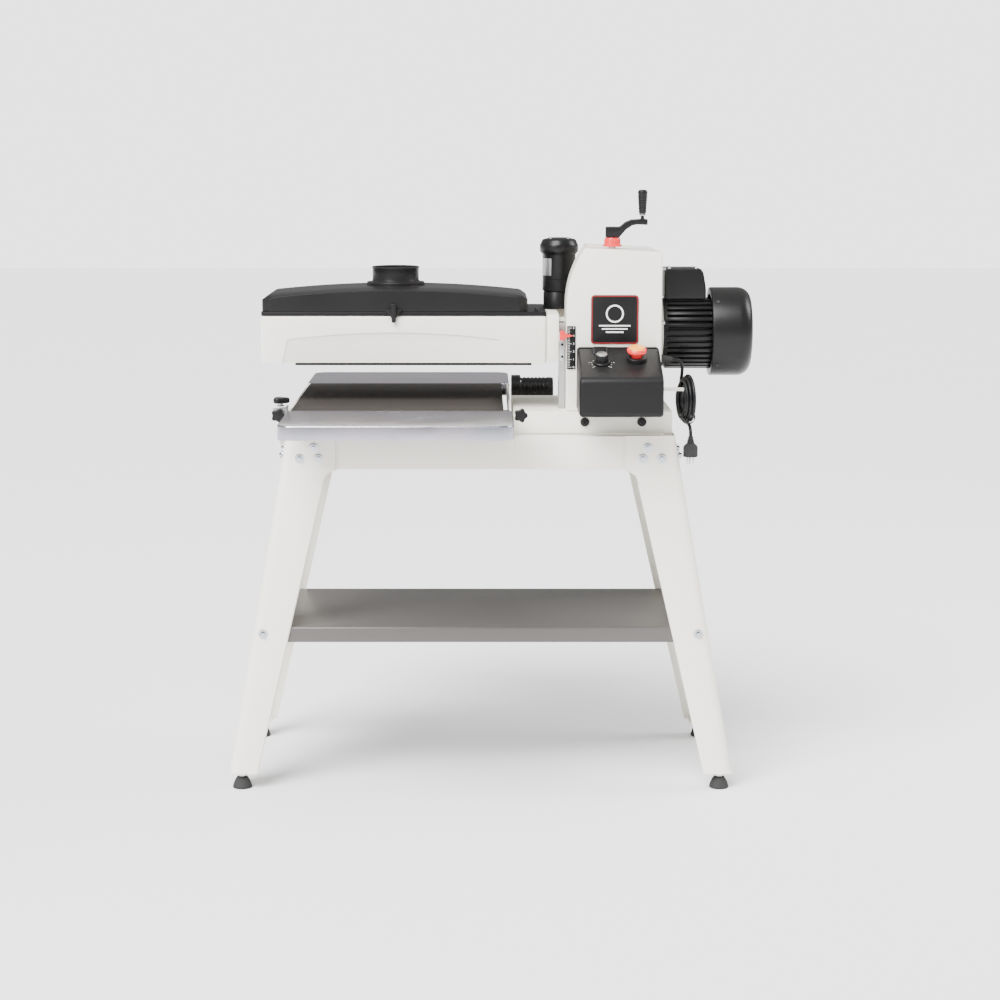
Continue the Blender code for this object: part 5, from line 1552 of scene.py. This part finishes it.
# ------------------------------------------------------------------ controls
@dataclass
class Controls(SubAssembly):
    """Control box with its speed knob, stop button and rocker switch."""

    body: str = "stand"

    def build(self) -> None:
        """Makes the control box and what works in it."""
        self.face = joint("stop_press")["axis"]
        self.box()
        self.knob()
        self.button()
        self.rocker()

    def place(self, node: str) -> Matrix:
        """The frame of a control: on the panel, Z along its normal."""
        from_knob = {"speed_knob": (0.0, 0.0), "stop_button": (0.0705, 0.0130), "power_switch": (0.0,
            0.0580)}[node]
        return frame_at(joint("speed_turn")["pos_m"], self.face) @ Matrix.Translation((*from_knob, 0.0))

    def box(self) -> None:
        """A moulded box whose top slopes to the operator, with wells for the switch and the button."""
        low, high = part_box("control_box")
        back_top, front_top = 0.9168, 0.8618
        slope = (back_top - front_top) / (high.y - low.y)
        seam, lid = 0.0016, 0.0125
        front_y = high.y - lid - seam
        outline = [(front_y, low.z), (front_y, back_top - slope * (lid + seam)), (low.y, front_top),
            (low.y, low.z)]
        count = 8
        rounded = outline[:2] + soft_corners(outline, 0.012, count)[2 * (count + 1):]
        case = bench_plate("control_case", rounded, low.x, high.x, Axis.X, 0.0066, 6)
        back = bench_plate("control_back", rounded_rectangle((low.x, low.z), (high.x, back_top - 0.004),
            0.0066, 6), high.y - lid, high.y, Axis.Y, 0.0012)
        core = bench_box("control_core", (low.x + 0.003, front_y - 0.020, low.z + 0.003), (high.x - 0.003,
            high.y - 0.003, back_top - 0.020), 0.0)
        seat = bench_box("seat", (-0.0118, -0.0138, -0.0075), (0.0118, 0.0138, 0.0200), 0.0)
        seat.data.transform(self.place("power_switch"))
        stop = self.place("stop_button")
        well = bench_lathe("well", [(0, -0.0110), (0.0117, -0.0110), (0.0117, 0.0200), (0, 0.0200)],
            stop.translation, stop, 48)
        carve(case, well, seat)
        self.fit(fuse("control_case", [case, back, core]), Finish.PANEL, "black_plastic", "control_box")
        screws = []
        for x in (low.x + 0.0175, high.x - 0.0325):
            screws.append(bench_lathe("box_screw", [(0, 0), (0.0095, 0), (0.0095, 0.0030), (0.0082, 0.0052),
                (0.0040, 0.0060), (0.0036, 0.0030),
                                                    (0, 0.0030)], (x, -0.1496, 0.7585),
                                                        Matrix.Rotation(math.pi / 2, 4, "X"), 36))
        self.fit(fuse("box_screws", screws), Finish.MOULDED, "black_plastic")

    def knob(self) -> None:
        """The fluted speed knob with a metal cap, and the printed dial round it."""
        at = self.place("speed_knob")
        outline = lobed((0, 0), 0.0128, 0.00035, 24, 144)
        grip = bench_plate("speed_grip", outline, 0.0040, 0.0205, Axis.Z, 0.0007, 2)
        skirt = bench_lathe("speed_skirt", [(0, 0.0010), (0.0168, 0.0010), (0.0170, 0.0016),
            (0.0166, 0.0036), (0.0150, 0.0050), (0, 0.0050)],
                            (0, 0, 0), Axis.Z, 56)
        whole = fuse("speed_dial", [grip, skirt])
        whole.data.transform(at)
        self.fit(whole, Finish.MOULDED, "black_plastic", "speed_knob", body="speed")
        cap = bench_lathe("speed_cap", [(0, 0.0200), (0.0106, 0.0200), (0.0106, 0.0214), (0.0102, 0.0220),
            (0.0020, 0.0226), (0, 0.0226)],
                          (0, 0, 0), Axis.Z, 56)
        cap.data.transform(at)
        self.fit(cap, Finish.STEEL, "steel", body="speed")
        line = bench_box("speed_line", (-0.0006, 0.0108, 0.0010), (0.0006, 0.0163, 0.0050), 0.0)
        line.data.transform(Matrix.Rotation(math.radians(-35), 4, "Z"))
        line.data.transform(Matrix.Translation((0, 0, 0.0004)))
        line.data.transform(at)
        self.fit(line, Finish.MARKING, "steel", body="speed")
        marks = []
        for k in range(11):
            turn = math.radians(225 - 27 * k)
            length = 0.0032 if k % 5 == 0 else 0.0022
            mark = bench_box("dial_mark", (0.0190, -0.00035, -0.0002), (0.0190 + length, 0.00035, 0.0003),
                0.0)
            mark.data.transform(at @ Matrix.Rotation(turn, 4, "Z"))
            marks.append(mark)
            if k % 5 == 0 or k % 2 == 0:
                number = numeral(str(k), 0.0040, (0, 0, 0))
                number.data.transform(Matrix.Rotation(-math.pi / 2, 4, "X"))
                number.data.transform(at @ Matrix.Translation((0.0252 * math.cos(turn),
                    0.0252 * math.sin(turn), 0.0001)))
                marks.append(number)
        self.fit(fuse("dial_marks", marks), Finish.MARKING, "black_plastic")

    def button(self) -> None:
        """The latching stop button: black collar, a red mushroom head and an amber cap on its top."""
        at = self.place("stop_button")
        head = [(0, -0.0040), (0.0104, -0.0040), (0.0106, 0.0150), (0.0120, 0.0162), (0.0182, 0.0182),
            (0.0197, 0.0202), (0.0200, 0.0232),
                (0.0192, 0.0262), (0.0168, 0.0284), (0.0120, 0.0297), (0.0060, 0.0300), (0, 0.0300)]
        mushroom = bench_lathe("stop_head", head, at.translation, at, 64)
        self.fit(mushroom, Finish.RED, "red_plastic", "stop_button", body="stop")
        cap = bench_lathe("stop_cap", [(0.0, 0.0285), (0.0150, 0.0277), (0.0158, 0.0286), (0.0150, 0.0294),
            (0.0110, 0.0303), (0.0055, 0.0307), (0, 0.0308)],
                          at.translation, at, 64)
        self.fit(cap, Finish.AMBER, "red_plastic", body="stop")
        collar = bench_lathe("stop_collar", [(0.0124, 0.0003), (0.0200, 0.0003), (0.0203, 0.0006),
            (0.0203, 0.0090), (0.0195, 0.0100),
                                             (0.0124, 0.0100)], at.translation, at, 64)
        self.fit(collar, Finish.MOULDED, "black_plastic")

    def rocker(self) -> None:
        """The rocker switch in a raised bezel."""
        at = self.place("power_switch")
        rocker = bench_plate("switch_rocker", [(-0.0124, 0.0038), (-0.0124, -0.0030), (0, -0.0068),
            (0.0124, -0.0030), (0.0124, 0.0038), (0, 0.0012)],
                             -0.0104, 0.0104, Axis.X, 0.0007, 3)
        rocker.data.transform(at)
        self.fit(rocker, Finish.MOULDED, "black_plastic", "power_switch", body="switch")
        rim = bench_plate("bezel_rim", rounded_rectangle((-0.0145, -0.0168), (0.0145, 0.0168), 0.003),
            0.0001, 0.0022, Axis.Z, 0.0006)
        gap = bench_plate("bezel_gap", rounded_rectangle((-0.0116, -0.0136), (0.0116, 0.0136), 0.001),
            -0.01, 0.01, Axis.Z, 0.0)
        bezel = carve(rim, gap)
        bezel.data.transform(at)
        self.fit(bezel, Finish.RUBBER, "black_plastic")


@dataclass
class Crank(SubAssembly):
    """Depth crank: lead screw, index dial, arm and turning grip."""

    body: str = "crank"

    def build(self) -> None:
        """Makes the crank's pieces."""
        low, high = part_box("depth_dial")
        x, y = (low.x + high.x) / 2, (low.y + high.y) / 2
        self.lead_screw(x, y, high.z)
        self.dial(x, y, low, high)
        self.skin("crank_arm", 0.0026, Finish.MOULDED, "black_plastic", 4, 30)
        self.grip()

    def lead_screw(self, x: float, y: float, top: float) -> None:
        """The lead screw with its square thread, up to the dial's top."""
        screw_low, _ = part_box("lead_screw")
        thread = [(0, screw_low.z)]
        bottom, pitch, turns = screw_low.z + 0.0010, 0.0040, 79
        for k in range(turns):
            z = bottom + k * pitch
            thread += [(0.0075, z), (0.0075, z + 0.0016), (0.0060, z + 0.0022), (0.0060, z + 0.0036)]
        thread += [(0.0075, bottom + turns * pitch), (0.0075, top), (0, top)]
        self.fit(bench_lathe("screw_thread", thread, (x, y, 0), Axis.Z, 32), Finish.STEEL, "steel",
            "lead_screw")

    def dial(self, x: float, y: float, low: Vector, high: Vector) -> None:
        """The ribbed index dial between two corners."""
        dial = bench_lathe("index_dial", [(0.0077, low.z), (0.0190, low.z), (0.0195, low.z + 0.0004),
            (0.0195, low.z + 0.0028), (0.0188, low.z + 0.0036),
                                          (0.0168, low.z + 0.0046), (0.0164, low.z + 0.0060),
                                              (0.0160, high.z - 0.0022), (0.0150, high.z),
                                                  (0.0077, high.z)],
                           (x, y, 0), Axis.Z, 72)
        ribs = []
        ribs_round = 40
        for k in range(ribs_round):
            rib = bench_box("dial_rib", (0.0155, -0.0005, low.z + 0.0065), (0.0167, 0.0005,
                high.z - 0.0030), 0.0003, 1)
            rib.data.transform(Matrix.Translation((x, y, 0)) @ Matrix.Rotation(2 * math.pi * k / ribs_round,
                4, "Z"))
            ribs.append(rib)
        self.fit(fuse("index_dial", [dial] + ribs), Finish.RED, "red_plastic", "depth_dial")

    def grip(self) -> None:
        """The ringed grip and the ferrule under it."""
        grip_low, grip_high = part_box("crank_grip")
        gx, gy = (grip_low.x + grip_high.x) / 2, (grip_low.y + grip_high.y) / 2
        g0, g1 = grip_low.z, grip_high.z
        wide = (grip_high.x - grip_low.x) / 2
        waist = wide - 0.0026
        handle = [(0, g0 + 0.0040), (waist - 0.0006, g0 + 0.0040), (waist, g0 + 0.0050)]
        for k in range(7):
            z = g0 + 0.0070 + k * 0.0050
            swell = waist + (wide - waist) * (k + 1) / 8
            handle += [(swell, z), (swell + 0.0002, z + 0.0034), (swell - 0.0004, z + 0.0040)]
        handle += [(wide, g0 + 0.0450), (wide - 0.0002, g0 + 0.0480), (wide - 0.0012, g0 + 0.0508),
            (wide - 0.0040, g1 - 0.0004), (0, g1)]
        self.fit(bench_lathe("grip_handle", handle, (gx, gy, 0), Axis.Z, 48), Finish.MOULDED,
            "black_plastic", "crank_grip", body="grip")
        ferrule = bench_lathe("grip_ferrule", [(0, g0), (0.0062, g0), (0.0066, g0 + 0.0004),
            (0.0066, g0 + 0.0036), (0.0060, g0 + 0.0040), (0, g0 + 0.0040)], (gx, gy, 0), Axis.Z, 36)
        self.fit(ferrule, Finish.CHROME, "steel", body="grip")


# ------------------------------------------------------------------ cord
@dataclass
class PowerCord(SubAssembly):
    """The mains lead: gland, one continuous cord wound into a hank on the hook, its tie and plug."""

    body: str = "stand"
    radius: float = 0.0035
    ring: float = 0.037
    turns: int = 7
    yaw: float = math.radians(10)
    middle: Vector = field(default_factory=lambda: Vector((0.3990, -0.1290, 0.8030)))
    gland: Vector = field(default_factory=lambda: Vector((0.347, -0.129, 0.885)))

    def build(self) -> None:
        """Makes the cord and what is on it."""
        route = self.route()
        lead, plug = self.lead(route), self.plug(route[-1])
        self.gland_relief()
        tie = self.tie()
        length = sum((b - a).length for a, b in zip(route, route[1:]))
        tuple(route[0])
        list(plug)
        LOG.info("cord %.3f m", length)

    def axes(self) -> tuple[Vector, Vector, Vector]:
        """The hank's own directions: along its axis, level in its plane, and up."""
        across = Vector((math.cos(self.yaw), math.sin(self.yaw), 0))
        return across, Vector((-across.y, across.x, 0)), Vector((0, 0, 1))

    def route(self) -> list[Vector]:
        """The cord's centreline: out of the gland, round the hank and down to the plug.

        Each turn of the hank has its own seat, in pitches along the axis and outwards, and the
        cord crosses to the next seat a little earlier on every turn.

        Returns:
            The points, about 5 mm apart.
        """
        across, beside, up = self.axes()
        pitch, slant = 0.0074, math.sqrt(0.75)
        seats = [(0, 1), (-slant, 0.5), (-slant, -0.5), (0, 0), (0, -1), (slant, -0.5), (slant, 0.5),
            (slant, 1.5)]
        steps = 36
        last_cross, earlier, crossing = 0.20, 0.10, 0.20

        def strand(here: Flat, after: Flat, blend: float, angle: float) -> Vector:
            side = pitch * (here[0] * (1 - blend) + after[0] * blend)
            spread = self.ring + pitch * (here[1] * (1 - blend) + after[1] * blend)
            outward = beside * math.cos(angle) + up * math.sin(angle)
            return self.middle + across * side + outward * spread

        hank: list[Vector] = []
        for turn in range(self.turns):
            opens = last_cross + earlier * (self.turns - 1 - turn)
            for k in range(steps):
                share = k / steps
                blend = min(1.0, max(0.0, (share - opens) / crossing))
                blend = blend * blend * (3 - 2 * blend)
                hank.append(strand(seats[turn], seats[turn + 1], blend, -2 * math.pi * share))
        leaving = steps // 6
        hank += [strand(seats[-1], seats[-1], 0.0, -2 * math.pi * k / steps) for k in range(leaving + 1)]
        inside, clear = 0.001, 0.0255
        start = self.gland + Vector((clear, 0, 0))
        straight = [self.gland + Vector((inside + (clear - inside) * k / 6, 0, 0)) for k in range(6)]
        lead = straight + bezier(start, start + Vector((0.032, 0, 0)), hank[0] + up * 0.050, hank[0],
            20)[:-1]
        turn = -2 * math.pi * leaving / steps
        away = beside * math.sin(turn) - up * math.cos(turn)
        end = self.middle - beside * self.ring + Vector((0.0025, 0.0015, -0.0745))
        return lead + hank + bezier(hank[-1], hank[-1] + away * 0.026, end + up * 0.032, end, 16)[1:]

    def lead(self, route: list[Vector]) -> bpy.types.Object:
        """One smooth curve with the cord's round section."""
        deselect()
        bpy.ops.curve.primitive_bezier_curve_add(location=(0, 0, 0))
        made = bpy.context.object
        made.name = "power_cord"
        made.data.splines.clear()
        spline = made.data.splines.new("NURBS")
        spline.points.add(len(route) - 1)
        for point, at in zip(spline.points, route):
            point.co = (*at, 1.0)
        spline.order_u = 4
        spline.use_endpoint_u = True
        spline.resolution_u = 3
        made.data.dimensions = "3D"
        made.data.bevel_depth = self.radius
        made.data.bevel_resolution = 5
        made.data.use_fill_caps = True
        return self.fit(made, Finish.LEAD, "rubber", "power_cord_lead", "power_cord_coil",
            "power_cord_tail")

    def gland_relief(self) -> None:
        """The tapered, ribbed strain relief where the cord leaves the column."""
        low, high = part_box("cord_gland")
        x0, x1 = low.x, high.x
        profile = [(0.0044, x0), (0.0110, x0), (0.0110, x0 + 0.0040), (0.0104, x0 + 0.0048),
            (0.0088, x0 + 0.0050)]
        count = 5
        for k in range(count):
            share = k / count
            radius = 0.0088 - 0.0030 * share
            x = x0 + 0.0058 + k * 0.0034
            profile += [(radius, x), (radius - 0.0002, x + 0.0020), (radius - 0.0014, x + 0.0022),
                (radius - 0.0014, x + 0.0032)]
        profile += [(0.0058, x1 - 0.0010), (0.0054, x1), (0.0044, x1)]
        relief = bench_lathe("cord_relief", profile, (0, self.gland.y, self.gland.z), Axis.X, 40)
        self.fit(relief, Finish.RUBBER, "rubber", "cord_gland")

    def plug(self, end: Vector) -> list[bpy.types.Object]:
        """The moulded plug under the cord's end, with its pins."""
        z = end.z
        base = [(0.0036, z + 0.0020), (0.0050, z + 0.0020)]
        for k in range(4):
            radius = 0.0056 + 0.0008 * k
            top = z - 0.0004 - 0.0030 * k
            base += [(radius, top), (radius, top - 0.0016), (radius - 0.0009, top - 0.0018),
                (radius - 0.0009, top - 0.0028)]
        base += [(0.0090, z - 0.0130), (0.0128, z - 0.0165), (0.0148, z - 0.0195), (0.0150, z - 0.0220),
            (0.0150, z - 0.0385), (0.0142, z - 0.0400),
                 (0, z - 0.0400), (0, z - 0.0060), (0.0036, z - 0.0060)]
        body = bench_lathe("plug_body", base, (end.x, end.y, 0), Axis.Z, 48)
        self.fit(body, Finish.RUBBER, "rubber", "power_plug")
        pins = [bench_box("plug_pin", (end.x + dx - 0.0008, end.y - 0.0032, z - 0.0560),
            (end.x + dx + 0.0008, end.y + 0.0032, z - 0.0385), 0.0004)
                for dx in (-0.0062, 0.0062)]
        earth = bench_lathe("plug_earth", [(0, z - 0.0385), (0.0024, z - 0.0385), (0.0024, z - 0.0545),
            (0.0016, z - 0.0560), (0, z - 0.0560)],
                            (end.x, end.y + 0.0085, 0), Axis.Z, 24)
        pin = self.fit(fuse("plug_pins", pins + [earth]), Finish.ZINC, "steel")
        return [body, pin]

    def tie(self) -> bpy.types.Object:
        """A wrapped strap that keeps the hank together, at its lowest point beside the tail."""
        turn = math.radians(-118)
        across, beside, up = self.axes()
        reach = self.ring + 0.00235
        outward = beside * math.cos(turn) + up * math.sin(turn)
        spot = self.middle + across * 0.00135 + outward * reach
        along = (up * math.cos(turn) - beside * math.sin(turn)).normalized()
        frame_turn = up.rotation_difference(along).to_matrix().to_4x4()
        strap = bench_lathe("cord_tie", [(0.0137, -0.0045), (0.0144, -0.0045), (0.0148, -0.0038),
            (0.0148, 0.0038), (0.0144, 0.0045), (0.0137, 0.0045)],
                            spot, frame_turn, 40)
        return self.fit(strap, Finish.RUBBER, "rubber")


def bezier(first: Vector, lean: Vector, pull: Vector, last: Vector, count: int) -> list[Vector]:
    """Even samples of one cubic curve.

    Args:
        first: where it starts.
        lean: the handle it leaves towards.
        pull: the handle it arrives from.
        last: where it ends.
        count: the number of spans.

    Returns:
        count + 1 points.
    """
    shares = [k / count for k in range(count + 1)]
    return [first * (1 - t) ** 3 + lean * 3 * t * (1 - t) ** 2 + pull * 3 * t * t * (1 - t) + last * t ** 3
        for t in shares]


# ------------------------------------------------------------------ studio
@dataclass
class Studio:
    """Camera, floor, sky and lamps."""

    lens: float = 78.66
    location: Point = (-0.0243, -4.6, 1.309)
    pitch: float = 80.90
    sensor: float = 36.0
    shift: float = 0.0205

    def camera(self) -> None:
        """Sets the camera, level and without depth of field."""
        deselect()
        bpy.ops.object.camera_add(location=self.location, rotation=(math.radians(self.pitch), 0, 0))
        made = bpy.context.object
        made.data.lens = self.lens
        made.data.sensor_width = self.sensor
        made.data.shift_x = self.shift
        bpy.context.scene.camera = made

    def lamp(self, name: str, place: Point, aim: Point, size: float, power: float) -> None:
        """A square soft box that looks at a point."""
        away = Vector(place) - Vector(aim)
        turn = away.to_track_quat("Z", "Y").to_euler()
        bpy.ops.object.light_add(type="AREA", location=place, rotation=turn)
        made = bpy.context.object
        made.name = name
        made.data.size = size
        made.data.energy = power

    def light(self) -> None:
        """A white room, brighter where the camera sees it, with a broad sun, a key lamp and a rim lamp."""
        world = bpy.data.worlds.new("studio")
        bpy.context.scene.world = world
        world.use_nodes = True
        tree = world.node_tree
        sky = tree.nodes["Background"]
        sky.inputs["Color"].default_value = (1.0, 1.0, 1.0, 1.0)
        rays = tree.nodes.new("ShaderNodeLightPath")
        strength = tree.nodes.new("ShaderNodeMath")
        strength.operation = "MULTIPLY"
        for socket, ray, otherwise, when in zip(strength.inputs, ("Is Camera Ray", "Is Glossy Ray"),
            (1.15, 1.0), (2.95, 0.42)):
            by_ray = tree.nodes.new("ShaderNodeMapRange")
            by_ray.inputs["To Min"].default_value = otherwise
            by_ray.inputs["To Max"].default_value = when
            tree.links.new(rays.outputs[ray], by_ray.inputs["Value"])
            tree.links.new(by_ray.outputs["Result"], socket)
        tree.links.new(strength.outputs[0], sky.inputs["Strength"])
        self.sun((-1.4, -2.2, 3.2), 7.4, 38.0)
        self.lamp("key", (-2.0, -2.9, 2.6), (0.0, 0.0, 0.8), 1.5, 75)
        self.lamp("rim", (2.6, 0.4, 2.4), (0.2, 0.0, 0.9), 1.2, 55)

    def sun(self, place: Point, strength: float, spread: float) -> None:
        """A broad overhead light whose shadows stay soft."""
        turn = Vector(place).to_track_quat("Z", "Y").to_euler()
        bpy.ops.object.light_add(type="SUN", location=place, rotation=turn)
        made = bpy.context.object
        made.name = "overhead"
        made.data.energy = strength
        made.data.angle = math.radians(spread)

    def floor(self) -> None:
        """A plain pale floor."""
        deselect()
        bpy.ops.mesh.primitive_plane_add(size=40, location=(0, 0, -0.0002))
        ground = bpy.context.object
        ground.name = "floor"
        paper = bpy.data.materials.new("floor_paper")
        paper.use_nodes = True
        shader = paper.node_tree.nodes["Principled BSDF"]
        shader.inputs["Base Color"].default_value = (0.93, 0.93, 0.93, 1.0)
        shader.inputs["Roughness"].default_value = 0.75
        ground.data.materials.append(paper)


def main() -> None:
    """Builds the scene."""
    studio = Studio()
    studio.camera()
    PowerCord().build()
    for group in (Stand(), Column(), Conveyor(), Head(), Drum(), DustCover(), Motors(),
                  Controls(), Crank()):
        group.build()
    studio.floor()
    studio.light()


if __name__ == "__main__":
    main()
